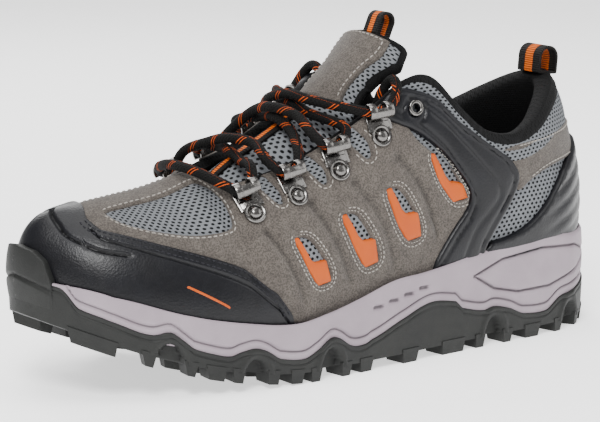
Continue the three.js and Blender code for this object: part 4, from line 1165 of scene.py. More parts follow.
@dataclass
class Upper:
    """Mesh shell, lining and the suede and moulded panels over them."""

    last: Last
    cutter: Cutter
    finishes: Finishes
    offsets: Offsets = Offsets()

    def build(self) -> None:
        """Builds every layer of the upper."""
        self._shell()
        self._lining()
        self._quarters()
        self._trims()
        self._toe_cap()
        self._bumper()
        self._straps()
        self._heel()

    def _pad(self, k: Array, h: Array) -> Array:
        """Returns how far the padded collar stands out."""
        collar = np.clip((k - 11.4) / 1.6, 0, 1)
        return 1.6 * collar * np.sin(np.clip((h - 0.66) / 0.34, 0, 1) * np.pi) ** 0.8

    def _shell(self) -> None:
        """Builds the mesh shell that shows in the vents, on the vamp and round the heel."""
        piece = Piece("mesh shell", self.finishes.mesh)
        for side in SIDES:
            k = np.linspace(0, self.last.END, 191)[:, None]
            h = np.linspace(0, 1, 45)[None, :]
            k, h = np.broadcast_arrays(k, h)
            outer, _ = self.last.at(k, h, side, self.offsets.mesh + self._pad(k, h) - 0.8 * (h > 0.99))
            inner, _ = self.last.at(k, h, side, 0.0)
            piece.grid(outer, inner, self.cutter.uv(k, h, side))
        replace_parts(piece.build(60), "mesh_upper")

    def _lining(self) -> None:
        """Builds the knit lining, which wraps over the topline as the padded collar and the edge binding."""
        piece = Piece("lining and collar", self.finishes.lining)
        for side in SIDES:
            k = np.linspace(0, self.last.END, 191)
            collar = np.clip((k - 11.2) / 1.8, 0, 1)
            thick = 2.0 + 4.6 * collar
            rows, uv_rows = [], []
            for h in np.linspace(0, 0.6, 16):
                rows.append(self.last.at(k, h, side, -0.3 - 1.8 * np.ones_like(k))[0])
                uv_rows.append(self.cutter.uv(k, np.full_like(k, h), side))
            for h in (0.68, 0.76, 0.84, 0.9, 0.95, 0.98):
                swell = np.sin(np.clip((h - 0.6) / 0.4, 0, 1) * np.pi * 0.62)
                rows.append(self.last.at(k, h, side, -2.1 - (thick - 2.0) * swell)[0])
                uv_rows.append(self.cutter.uv(k, np.full_like(k, h), side))
            top, normal = self.last.at(k, 1.0, side, 0.0)
            up = np.array([0, 0, 1.0])
            crown = 0.5 * (2.6 - (-2.1 - (thick - 2.0) * 0.92))
            middle = 2.6 - crown
            for turn in np.linspace(np.pi * 0.92, 0.0, 9):
                lift = (1.1 + 1.3 * collar) * np.sin(turn) - 0.3
                rows.append(top + normal * (middle + crown * np.cos(turn))[:, None] + up * lift[:, None])
                uv_rows.append(self.cutter.uv(k, np.full_like(k, 1.0 + 0.05 * (1 - turn / np.pi)), side))
            for h in (0.97, 0.95):
                reach = 1 - (1 - h) * (0.5 + 1.0 * collar)
                off = self.offsets.mesh + self._pad(k, reach) + (0.45 if h > 0.96 else 0.05)
                rows.append(self.last.at(k, reach, side, off)[0])
                uv_rows.append(self.cutter.uv(k, 1.06 + 0 * k, side))
            outer = np.stack(rows, 1)
            back = []
            for n in range(outer.shape[1]):
                h = min(1.0, n / 21)
                back.append(self.last.at(k, min(h, 0.985), side, -0.6 if n < 24 else 0.5)[0])
            piece.grid(outer, np.stack(back, 1), np.stack(uv_rows, 1))
        lining = piece.build(60)
        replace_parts(lining, "lining", "toe_puff", "heel_stiffener", "collar_padding")

    def _relief(self, k: Array, h: Array) -> Array:
        """Returns the depth of the pressed darts between the vents."""
        depth = np.zeros_like(k)
        scale = np.array([Cutter.WIDE, Cutter.TALL])
        places = np.stack([k, h], -1) * scale
        for dart in DARTS:
            line = spaced(catmull(np.array(dart) * scale, np.linspace(0, len(dart) - 1, 40)), 0.5)
            width = np.interp(np.arange(len(line)), [0, len(line) * 0.25, len(line)], [2.4, 1.9, 1.1])
            best = np.zeros(len(places))
            for at, wide in zip(line[::2], width[::2]):
                best = np.maximum(best, np.exp(-np.sum((places - at) ** 2, axis=1) / wide ** 2))
            depth = np.maximum(depth, best * 1.35)
        return depth

    def _quarters(self) -> None:
        """Cuts the suede vamp and quarters with their vents and windows, and stitches them."""
        piece = Piece("suede quarters", self.finishes.suede)
        thread = Piece("suede stitching", self.finishes.thread)
        outline = [(0.95, 1.0)] + [(1.0 + 0.1 * i, 1.0) for i in range(1, 41)]
        outline += [(5.3, 0.985), (6.0, 0.985), (8.0, 0.985), (10.0, 0.985), (10.62, 0.985), (10.9, 0.7),
                    (11.7, 0.58), (13.2, 0.5), (12.8, 0.3), (11.9, 0.1), (11.8, 0.03), (6.4, 0.03),
                    (5.9, 0.16), (4.9, 0.29), (4.0, 0.38), (3.2, 0.45), (2.5, 0.51), (1.8, 0.56),
                    (1.4, 0.7), (1.25, 0.84)]
        top = self.offsets.suede
        for side in SIDES:
            self.cutter.panel(piece, side, outline, self.offsets.mesh - 0.5, top,
                              (VAMP, *WINDOWS, *VENTS), 1.7,
                              seam=lambda p: (p[:, 1] > 0.99) & (p[:, 0] < 5.06), relief=self._relief)
            self.cutter.stitches(thread, side, VAMP, top, closed=True, inset=-1.6)
            for window in WINDOWS:
                self.cutter.stitches(thread, side, window[1:6], top, inset=-1.5)
            for vent in VENTS:
                self.cutter.stitches(thread, side, vent, top, closed=True, inset=2.4, pitch=2.2, length=1.5)
                self.cutter.stitches(thread, side, vent, top, closed=True, inset=1.2, pitch=1.6, length=1.0,
                                     radius=0.18)
        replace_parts(piece.build(50), "lateral_suede_quarter", "medial_suede_quarter", "vamp_strip")
        thread.build(weld=False)

    def _trims(self) -> None:
        """Adds the orange trims in the vents."""
        piece = Piece("orange vent trims", self.finishes.trim)
        for side in SIDES:
            for trim in TRIMS:
                self.cutter.panel(piece, side, trim, self.offsets.mesh - 0.4, self.offsets.suede + 0.1,
                                  pitch=1.3, corners=0)
        nodes = [f"{name}_vent_trim_{i}" for name in ("lateral", "medial") for i in (1, 2, 3, 4)]
        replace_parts(piece.build(50), *nodes)

    def band(self, piece: Piece, k0: float, k1: float, low: Callable[[Array], Array],
             high: Callable[[Array], Array], base: float, face: float, columns: int,
             relief: Callable[[Array, Array], Array] | None = None) -> None:
        """Adds a band that runs round the toe from one side to the other.

        Args:
            piece: Receives it.
            k0: How far it reaches on the medial side, in ribs from the toe.
            k1: How far it reaches on the lateral side.
            low: Lower edge by distance.
            high: Upper edge by distance.
            base: Height of its back.
            face: Height of its face.
            columns: Points along each side.
            relief: Depth of grooves by distance and share of height.
        """
        for side, reach in ((1, k0), (-1, k1)):
            at = np.linspace(0, reach, columns)
            share = np.concatenate([np.linspace(0, 0.94, 84), [0.955, 0.97, 0.985, 1.0]])
            k, s = np.meshgrid(at, share, indexing="ij")
            bottom, top = low(k * -side), high(k * -side)
            h = bottom + (top - bottom) * s
            wall = np.clip((1 - s) * (top - bottom) * 76 / 1.3, 0, 1)
            wall = np.where(top > 0.999, 1, wall)
            side_wall = np.clip((reach - k) * 14.5 / 1.3, 0, 1)
            round_off = np.sqrt(1 - (1 - np.minimum(wall, side_wall)) ** 2)
            height = base + (face - base) * (0.3 + 0.7 * round_off)
            if relief is not None:
                height = height - relief(k * -side, h)
            outer, _ = self.last.at(k, h, side, height)
            inner, _ = self.last.at(k, h, side, base)
            piece.grid(outer, inner, self.cutter.uv(k, h, side))

    def _toe_cap(self) -> None:
        """Builds the moulded toe cap with its pressed line, its stitching and a plain ornament."""
        piece = Piece("toe cap", self.finishes.overlay)
        ks, hs = [p[0] for p in CAP_EDGE], [p[1] for p in CAP_EDGE]
        edge = lambda k: np.interp(np.abs(k), ks, hs)
        line = np.array(((0.0, 0.92), (0.62, 0.7), (1.08, 0.55), (1.54, 0.475), (1.92, 0.43), (2.4, 0.415)))
        scale = np.array([Cutter.WIDE, Cutter.TALL])
        groove = spaced(catmull(line * scale, np.linspace(0, len(line) - 1, 50)), 0.5)

        def relief(k: Array, h: Array) -> Array:
            """Returns the depth of the pressed lines, which follow the cap's edge."""
            places = np.stack([np.abs(k).ravel(), h.ravel()], -1) * scale
            depth = 1.3 * np.exp(-(gap_to(places, groove) / 0.9) ** 2).reshape(k.shape)
            below = (edge(k) - h) * 76
            return depth + 0.8 * np.exp(-((below - 6.4) / 0.8) ** 2) * (np.abs(k) > 1.7)

        self.band(piece, 6.6, 6.6, lambda k: 0.02 + 0 * k, edge, self.offsets.mesh - 0.4,
                  self.offsets.overlay, 150, relief)
        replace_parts(piece.build(50), "toe_cap")
        thread = Piece("toe cap stitching", self.finishes.dark_thread)
        for side in SIDES:
            for inset in (1.7, 4.0):
                self.cutter.stitches(thread, side, CAP_EDGE[3:11], self.offsets.overlay - 0.05,
                                     2.5, 1.9, 0.36, inset=-inset)
        mark = Piece("toe cap ornament", self.finishes.trim)
        self.cutter.panel(mark, -1, ((3.35, 0.255), (4.2, 0.15), (4.24, 0.165), (3.39, 0.272)),
                          self.offsets.overlay - 0.4, self.offsets.overlay + 0.22, pitch=1.5, corners=0)
        mark.build()
        thread.build(weld=False)

    def _bumper(self) -> None:
        """Builds the rubber bumper that the outsole sends up over the toe."""
        piece = Piece("toe bumper", self.finishes.rubber)

        def high(k: Array) -> Array:
            """Returns the height of the bumper's top edge."""
            return np.interp(np.abs(k), [0, 0.45, 0.75, 0.95, 1.02], [0.44, 0.4, 0.33, 0.2, 0.1])

        def relief(k: Array, h: Array) -> Array:
            """Returns the depth of the groove across the bumper."""
            return 0.9 * np.exp(-((h - 0.2) * 76 + np.abs(k) * 5) ** 2)

        self.band(piece, 1.02, 1.02, lambda k: 0.03 + 0 * k, high, self.offsets.overlay - 1.0, 9.2,
                  40, relief)
        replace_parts(piece.build(50), "toe_bumper")

    def _straps(self) -> None:
        """Builds the moulded side straps and their pressed lines."""
        piece = Piece("moulded side straps", self.finishes.overlay)
        scale = np.array([Cutter.WIDE, Cutter.TALL])
        spine_line = np.array(((11.0, 0.9), (11.9, 0.78), (13.0, 0.74), (13.9, 0.66), (14.1, 0.55),
                               (13.7, 0.42), (13.1, 0.28), (12.6, 0.12))) * scale
        groove = spaced(catmull(spine_line, np.linspace(0, 7, 80)), 0.5)
        hole = [(11.08 + 0.16 * math.cos(t), 0.83 + 0.03 * math.sin(t))
                for t in np.linspace(0, 6.28, 13)[:-1]]

        def relief(k: Array, h: Array) -> Array:
            """Returns the depth of the line pressed down the strap's middle."""
            places = np.stack([k, h], -1) * scale
            return 0.6 * np.exp(-(gap_to(places, groove) / 1.1) ** 2)

        for side in SIDES:
            self.cutter.panel(piece, side, STRAP, self.offsets.mesh - 0.3, self.offsets.overlay, (hole,), 1.1,
                              bulge=0.7, relief=relief, welt=0.8, corners=1)
        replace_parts(piece.build(50), "lateral_strap", "medial_strap")

    def _heel(self) -> None:
        """Builds the suede heel band and the moulded, ribbed heel counter."""
        band = Piece("suede heel band", self.finishes.suede)
        thread = Piece("heel stitching", self.finishes.thread)
        counter = Piece("moulded heel counter", self.finishes.overlay)
        outline = ((14.3, 0.88), (15.0, 0.925), (15.6, 0.905), (16.6, 0.83), (17.4, 0.775), (18.2, 0.75),
                   *((19.0, 0.74),) * 3, *((19.0, 0.52),) * 3, (18.2, 0.54), (17.0, 0.6), (16.0, 0.64),
                   (15.3, 0.61), (14.92, 0.55), (14.7, 0.6),
                   (14.75, 0.72))
        cap = (*((19.0, 0.64),) * 3, (18.2, 0.63), (17.3, 0.59), (16.67, 0.54), (15.9, 0.41), (15.25, 0.31),
               (14.75, 0.265),
               (13.6, 0.215), (13.5, 0.04), *((19.0, 0.04),) * 3)
        heel_seam = lambda p: p[:, 0] > 18.98

        def ribs(k: Array, h: Array) -> Array:
            """Returns the depth between the counter's slanting ribs."""
            rise = (h - 0.045 * (k - 15)) * 76
            fade = np.clip((k - 15.6) / 0.8, 0, 1)
            return 0.75 * fade * (0.5 + 0.5 * np.cos(rise / 7.5 * 2 * np.pi)) ** 3

        for side in SIDES:
            self.cutter.panel(band, side, outline, self.offsets.mesh - 0.4, self.offsets.suede, pitch=2.2,
                              seam=heel_seam, corners=1)
            self.cutter.stitches(thread, side, outline[1:7], self.offsets.suede + 0.05, inset=-1.6)
            self.cutter.stitches(thread, side, outline[11:16], self.offsets.suede + 0.05, inset=-1.6)
            self.cutter.panel(counter, side, cap, self.offsets.mesh - 0.3, self.offsets.overlay, pitch=1.8,
                              seam=heel_seam, relief=ribs, corners=1)
        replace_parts(band.build(50), "heel_band")
        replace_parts(counter.build(50), "heel_cap")
        thread.build(weld=False)


# ---- Sole ----

WAVE = ((-150, 50), (-141, 48.5), (-136.6, 40.2), (-126.9, 35.2), (-112, 28.8), (-103.7, 29.3), (-99, 25.8),
        (-94, 21.5), (-86, 18.6), (-78.3, 16.8), (-73.4, 18), (-66.5, 18.8), (-60.9, 17), (-54, 12.8),
        (-42, 11.2), (-34.5, 14.1), (-27.4, 18.2), (-22.4, 17.2), (-16, 13.2), (-10.2, 12.3), (-4.3, 13.9),
        (16, 20.8), (31.5, 25.2), (46.3, 23.5), (50.6, 19.8), (63.4, 17), (69.7, 17.9), (79.4, 15.7),
        (88.2, 12), (103, 11.4), (112.3, 16.3), (121.8, 17.6), (135, 19.5), (150, 22))
ARCHES = (-104, -66, -27, 70, 120)      # where the rubber's edge rises in a rounded rib


def ground(x: Array) -> Array:
    """Returns the height of the tread's foot, which curls up under the toe.

    Args:
        x: Places along the shoe.
    """
    toe = 31 * (np.clip(-30 - x, 0, None) / 120) ** 1.9
    return toe + 3 * (np.clip(x - 135, 0, None) / 15) ** 2


@dataclass
class Sole:
    """Foam midsole, rubber outsole with its lugs, and the boards and footbed inside."""

    last: Last
    finishes: Finishes
    columns: int = 340

    def build(self) -> None:
        """Builds the sole from the ground up."""
        self._midsole()
        self._outsole()
        self._inside()

    def _row(self, k: Array, side: int, inset: float | Array, height: Array | Callable[[Array], Array],
             share: float = 0.0) -> Array:
        """Returns a row of points round the sole.

        Args:
            k: Places along the shoe.
            side: Half of the shoe.
            inset: Distance in from the edge.
            height: Heights, or the height for each x.
            share: 0 at the inset edge, 1 on the middle line.
        """
        mine, _ = self.last.edge(k, side, inset)
        other, _ = self.last.edge(k, -side, inset)
        plan = mine * (1 - share / 2) + other * share / 2
        z = height(plan[:, 0]) if callable(height) else height
        return np.concatenate([plan, np.broadcast_to(z, (len(k),))[:, None]], 1)

    def _seal(self, piece: Piece, outer: list[Array], inner: list[Array]) -> None:
        """Adds the solid between a top row set and a bottom row set.

        Args:
            piece: Receives it.
            outer: Rows of the visible face.
            inner: As many rows of the hidden face.
        """
        face, back = np.stack(outer, 1), np.stack(inner, 1)
        piece.grid(face, back, face[..., [0, 2]], back[..., [0, 2]])

    def _relief(self, x: Array, z: Array, wave: Array, side: int) -> Array:
        """Returns how deep the foam's grooves are at places on the wall.

        Args:
            x: Places along the shoe.
            z: Heights.
            wave: Height of the rubber's edge there.
            side: Half of the shoe; not used.
        """
        depth = 1.1 * np.exp(-((z - wave - 3.4) / 0.75) ** 2)
        low = np.interp(x, [58, 70, 85, 105, 125, 140], [33, 26, 22.5, 22.5, 27, 33])
        high = np.interp(x, [58, 75, 100, 125, 140], [33, 38.5, 40.5, 38.5, 33])
        for edge in (low, high):
            depth = np.maximum(depth, 1.5 * np.exp(-((z - edge) / 0.8) ** 2) * ((x > 57) & (x < 141)))
        panel = np.clip(np.minimum(z - low, high - z) / 3, 0, 1) * ((x > 57) & (x < 141))
        depth = depth - 0.7 * panel
        for n in range(4):
            middle = 0 + n * 9.0
            across = np.abs(x - middle) / 3.1
            rise = np.abs(z - (27.5 + n * 1.6)) / 1.0
            depth = np.maximum(depth, 1.4 * np.exp(-across ** 6 - rise ** 4))
        return depth

    def _midsole(self) -> None:
        """Builds the foam midsole."""
        piece = Piece("foam midsole", self.finishes.foam)
        k = np.linspace(0, 19, self.columns)
        for side in SIDES:
            outer, inner = [], []
            rows = np.linspace(0, 1, 54)
            for s in rows:
                plan, _ = self.last.edge(k, side, 1.0)
                low, high = profile(WAVE, plan[:, 0]), profile(LIP, plan[:, 0])
                z = low - 0.8 + (high - low + 0.6) * s
                swell = 0.6 * np.sin(np.pi * s) - 0.9 * np.clip((s - 0.93) / 0.07, 0, 1) ** 2
                inset = 1.2 - swell + self._relief(plan[:, 0], z, low, side)
                outer.append(self._row(k, side, inset, z))
            lip = lambda x: profile(LIP, x)
            outer.append(self._row(k, side, 3.2, lambda x: lip(x) - 0.5))
            outer.append(self._row(k, side, 8.5, lambda x: lip(x) - 4.0))
            outer.append(self._row(k, side, 9.5, lambda x: profile(FLOOR, x)))
            outer.append(self._row(k, side, 14, lambda x: profile(FLOOR, x) - 1.5, 0.5))
            outer.append(self._row(k, side, 14, lambda x: profile(FLOOR, x) - 1.5, 1.0))
            under = lambda x: np.minimum(profile(WAVE, x) - 1.0, profile(FLOOR, x) - 5)
            for n in range(54):
                inner.append(self._row(k, side, 3.0 + 0.025 * n, under))
            for inset, share in ((6, 0), (8.5, 0), (9.5, 0), (14, 0.5), (14, 1.0)):
                inner.append(self._row(k, side, inset, lambda x: np.minimum(under(x), ground(x) + 9), share))
            self._seal(piece, outer, inner)
        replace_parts(piece.build(50), "midsole")

    def _outsole(self) -> None:
        """Builds the rubber with its scalloped edge, arch ribs and lugs."""
        piece = Piece("rubber outsole", self.finishes.rubber)
        k = np.linspace(0, 19, self.columns)
        for side in SIDES:
            outer, inner = [], []
            plan, _ = self.last.edge(k, side, 0.3)
            x = plan[:, 0]
            edge, foot = profile(WAVE, x), ground(x)
            levels = np.linspace(0, 1, 34)
            for s in levels:
                z = foot + 4.6 + (edge - foot - 4.6) * s
                inset = 0.9 - 0.6 * s + 0.4 * np.exp(-((z - edge + 2.2) / 0.45) ** 2)
                for arch in ARCHES:
                    crown = np.interp(arch, x, edge) - 4.2
                    reach = np.abs(x - arch) / 6.5
                    rise = (z - foot) / np.maximum(crown - foot, 2)
                    out = np.sqrt(reach ** 2 + np.clip(rise, 0, None) ** 2)
                    inset = inset + 3.6 * np.clip((1.0 - out) / 0.14, 0, 1)
                    inset = inset - 0.8 * np.exp(-((out - 1.22) / 0.17) ** 2)
                inset = inset + 0.7 * (1 - np.sqrt(1 - np.clip((s - 0.95) / 0.05, 0, 1) ** 2 * 0.99))
                outer.append(self._row(k, side, inset, z))
            outer.append(self._row(k, side, 3.4, edge - 0.2))
            outer.append(self._row(k, side, 9,
                                   lambda at: np.minimum(profile(WAVE, at) - 1.2, ground(at) + 8.8)))
            outer.append(self._row(k, side, 14, lambda at: ground(at) + 8.8, 1.0))
            for n in range(len(levels)):
                inner.append(self._row(k, side, 5.0 + 0.02 * n, lambda at: ground(at) + 4.6))
            inner.append(self._row(k, side, 7, lambda at: ground(at) + 4.6))
            inner.append(self._row(k, side, 9, lambda at: ground(at) + 4.6))
            inner.append(self._row(k, side, 14, lambda at: ground(at) + 4.6, 1.0))
            self._seal(piece, outer, inner)
            self._lugs(piece, side)
        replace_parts(piece.build(45), "outsole")

    def _lugs(self, piece: Piece, side: int) -> None:
        """Adds the tread blocks of one half.

        Args:
            piece: Receives them.
            side: Half of the shoe.
        """
        k = np.linspace(0, 19, 400)
        x = self.last.edge(k, side)[0][:, 0]
        spans = []
        for arch in ARCHES:
            spans += [(arch - 11.5, arch - 5.5), (arch + 5.5, arch + 11.5)]
        spans += [(-140, -124), (-89, -80), (-49, -42), (-11, -3), (14, 24), (38, 52), (89, 99), (136, 144)]
        for low, high in spans:
            start, end = np.interp([low, high], x, k)
            self._block(piece, side, start, end, 0.4, 13)
            middle = (start + end) / 2
            if 3 < start < 16.4:
                self._block(piece, side, middle - 0.35, middle + 0.35, 18, 28)

    def _block(self, piece: Piece, side: int, start: float, end: float, near: float, far: float) -> None:
        """Adds one tapered block.

        Args:
            piece: Receives it.
            side: Half of the shoe.
            start: First rib place.
            end: Last rib place.
            near: Distance of its outer face from the edge.
            far: Distance of its inner face from the edge.
        """
        top, low = [], []
        for inset in np.linspace(near, far, 5):
            u = np.linspace(start, end, 7)
            top.append(self._row(u, side, np.full(7, inset), lambda at: ground(at) + 6.4))
            pull = 0.9 if inset == near else -0.9 if inset == far else 0.0
            u = np.linspace(start + 0.06, end - 0.06, 7)
            low.append(self._row(u, side, np.full(7, inset + pull), lambda at: ground(at) + 0.02))
        self._seal(piece, top, low)

    def _inside(self) -> None:
        """Builds the insole board, the footbed and the shank plate."""
        for name, nodes, finish, low, high, inset, swell in (
                ("insole board", ("insole_board",), self.finishes.board, 0.6, 2.4, 10.5, 0.0),
                ("footbed", ("footbed",), self.finishes.lining, 2.7, 6.4, 11.5, 1.4)):
            piece = Piece(name, finish)
            k = np.linspace(0.3, 18.7, 120)
            for side in SIDES:
                top, under = [], []
                for s in np.linspace(0, 1, 12):
                    edge_rise = swell * np.clip(1 - s * 3, 0, 1)
                    round_off = 0.9 * np.clip(1 - s * 12, 0, 1)
                    lift = high + edge_rise - round_off
                    top.append(self._row(k, side, inset, lambda x: profile(FLOOR, x) + lift, s))
                    under.append(self._row(k, side, inset, lambda x: profile(FLOOR, x) + low, s))
                face, back = np.stack(top, 1), np.stack(under, 1)
                piece.grid(face, back, face[..., :2], back[..., :2])
            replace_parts(piece.build(50), *nodes)
        plate = Piece("shank plate", self.finishes.steel)
        rows = np.linspace(-44, 44, 40) + 12
        section = np.stack([[7 * math.copysign(abs(math.cos(t)) ** 0.4, math.cos(t)),
                             0.6 * math.copysign(abs(math.sin(t)) ** 0.4, math.sin(t))]
                            for t in np.linspace(0, 2 * np.pi, 20, endpoint=False)])
        path = np.stack([rows, np.full_like(rows, -5), profile(FLOOR, rows) - 1.4], -1)
        plate.tube(path, section, np.array([0, 0, 1.0]))
        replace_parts(plate.build(), "shank")


# ---- Hooks, tongue and loops ----

HOOKS = ((6.3, 16), (7.6, 14.5), (8.85, 14), (10.05, 12.8))
REACH, LIFT, TUNNEL = 10.5, 0.9, 2.85


class Hardware:
    """Lace hooks with their rivets, and the eyelet grommets."""

    def __init__(self, last: Last, finishes: Finishes) -> None:
        """Keeps what the hooks sit on.

        Args:
            last: The form.
            finishes: Materials.
        """
        self.last, self.finishes = last, finishes
        self.seats = {(side, i + 1): last.seat(k, side, below, 3.7)
                      for side in SIDES for i, (k, below) in enumerate(HOOKS)}

    def build(self) -> None:
        """Builds every hook, rivet and grommet."""
        for side, name in ((-1, "lateral"), (1, "medial")):
            for number in (1, 2, 3, 4):
                self._hook(self.seats[side, number], f"{name} hook {number}", f"{name}_hook_{number}")
                self._rivet(self.seats[side, number], f"{name} rivet {number}", f"{name}_rivet_{number}")
            self._grommet(self.last.seat(11.1, side, 12.5, 5.9), f"{name} grommet", f"{name}_grommet")

    def _ribbon(self, piece: Piece, seat: Matrix, x: float, line: Sequence[Point2], width: float) -> None:
        """Adds a bent strip of plate.

        Args:
            piece: Receives it.
            seat: Frame of the hook.
            x: Middle of the strip along the shoe.
            line: Its bend as up, out pairs.
            width: Its width.
        """
        path = catmull(np.array(line), np.linspace(0, len(line) - 1, 8 * len(line)))
        local = np.stack([np.full(len(path), x), path[:, 0], path[:, 1]], -1)
        half = width / 2
        section = np.array([(-half, -0.32), (-half, 0.32), (-half + 0.3, 0.5), (half - 0.3, 0.5),
                            (half, 0.32), (half, -0.32), (half - 0.3, -0.5), (-half + 0.3, -0.5)])
        run = np.gradient(path, axis=0)
        up = np.stack([np.zeros(len(path)), -run[:, 1], run[:, 0]], -1)
        world = moved(seat, local)
        turned = up @ np.array(seat)[:3, :3].T
        piece.tube(world, section, turned)

    def _hook(self, seat: Matrix, name: str, node: str) -> None:
        """Builds the plate with its folded tunnel.

        Args:
            seat: Frame of the hook.
            name: Object name.
            node: CAD node it stands for.
        """
        piece = Piece(name, self.finishes.hardware)
        turn = np.linspace(0, 2 * np.pi, 40, endpoint=False)
        rings = []
        for radius, z in ((0.2, 0.9), (3.0, 1.0), (3.5, 1.5), (4.3, 1.6), (4.75, 1.2), (4.8, 0.5),
                          (4.6, 0.05), (0.2, 0.0)):
            rings.append(np.stack([radius * np.cos(turn), radius * np.sin(turn), np.full(40, z)], -1))
        points = np.concatenate(rings)
        faces = [(i * 40 + j, i * 40 + (j + 1) % 40, i * 40 + 40 + (j + 1) % 40, i * 40 + 40 + j)
                 for i in range(7) for j in range(40)]
        faces += [tuple(range(40))[::-1], tuple(280 + j for j in range(40))]
        piece.add(moved(seat, points), faces)
        r = TUNNEL + 0.5
        centre = (REACH, LIFT + TUNNEL)
        bend = [(3.2, 0.9), (6.2, 0.72), (8.4, 0.42), (REACH, LIFT - 0.5)]
        for t in np.linspace(25, 250, 12):
            a = math.radians(t)
            bend.append((centre[0] + r * math.sin(a), centre[1] - r * math.cos(a)))
        for x in (-4.0, 4.0):
            self._ribbon(piece, seat, x, [(2.2, 0.9), (4.5, 0.8), *bend[1:]], 3.4)
        self._ribbon(piece, seat, 0, bend[:3] + [(9.6, 0.4)], 9.5)
        self._ribbon(piece, seat, 0, bend[-5:], 11.2)
        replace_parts(piece.build(40, weld=False), node)

    def _rivet(self, seat: Matrix, name: str, node: str) -> None:
        """Builds a domed rivet.

        Args:
            seat: Frame of the hook.
            name: Object name.
            node: CAD node it stands for.
        """
        deselect()
        bpy.ops.mesh.primitive_cylinder_add(vertices=32, radius=2.95 * MM, depth=2.3 * MM,
                                            location=(0, 0, -0.05 * MM))
        bpy.ops.object.mode_set(mode="EDIT")
        bpy.ops.mesh.select_mode(type="FACE")
        bpy.ops.mesh.select_all(action="DESELECT")
        bpy.ops.object.mode_set(mode="OBJECT")
        cap = bpy.context.active_object
        for face in cap.data.polygons:
            face.select = face.normal.z > 0.9
        bpy.ops.object.mode_set(mode="EDIT")
        for pull, rise in ((0.35, 0.75), (0.45, 0.5), (0.6, 0.32), (0.7, 0.17)):
            bpy.ops.mesh.inset(thickness=pull * MM)
            bpy.ops.transform.translate(value=(0, 0, rise * MM))
        bpy.ops.object.mode_set(mode="OBJECT")
        settle(cap, name, self.finishes.hardware, seat, node)

    def _grommet(self, seat: Matrix, name: str, node: str) -> None:
        """Builds an eyelet ring.

        Args:
            seat: Frame of the eyelet.
            name: Object name.
            node: CAD node it stands for.
        """
        deselect()
        bpy.ops.mesh.primitive_torus_add(major_radius=2.75 * MM, minor_radius=0.85 * MM, major_segments=40,
                                         minor_segments=14)
        bpy.ops.object.mode_set(mode="EDIT")
        bpy.ops.mesh.select_all(action="SELECT")
        bpy.ops.transform.resize(value=(1, 1, 0.8))
        bpy.ops.object.mode_set(mode="OBJECT")
        settle(bpy.context.active_object, name, self.finishes.hardware, seat, node)


TONGUE = ((-72, 73, 18, 5), (-60, 80, 21, 8), (-45, 89.5, 24, 12), (-28, 98, 25, 16), (-14, 105.5, 25, 17),
          (-4, 112, 23, 12), (5, 120, 19, 7.5), (14, 128, 19, 7.5), (21, 135, 23, 10), (27, 141, 22, 9))


def tongue_point(t: float | Array, across: float | Array, offset: float | Array) -> Array:
    """Returns points over the tongue.

    Args:
        t: Place along it, in stations.
        across: Place across it, -1 to 1.
        offset: Height over its underside's middle.
    """
    t, across, offset = np.broadcast_arrays(np.asarray(t, float), np.asarray(across, float),
                                            np.asarray(offset, float))
    row = catmull(TONGUE, t)
    before, after = catmull(TONGUE, t - 0.05), catmull(TONGUE, t + 0.05)
    along = np.stack([after[..., 0] - before[..., 0], 0 * t, after[..., 1] - before[..., 1]], -1)
    along /= np.linalg.norm(along, axis=-1, keepdims=True)
    out = np.stack([-along[..., 2], 0 * t, along[..., 0]], -1)
    half, drop = row[..., 2], row[..., 3]
    centre = np.stack([row[..., 0], 0 * t, row[..., 1]], -1)
    centre = centre - out * (drop * across ** 2)[..., None]
    centre[..., 1] += half * across
    normal = out.copy()
    normal[..., 1] += 2 * drop * across / half
    normal /= np.linalg.norm(normal, axis=-1, keepdims=True)
    return centre + normal * offset[..., None]


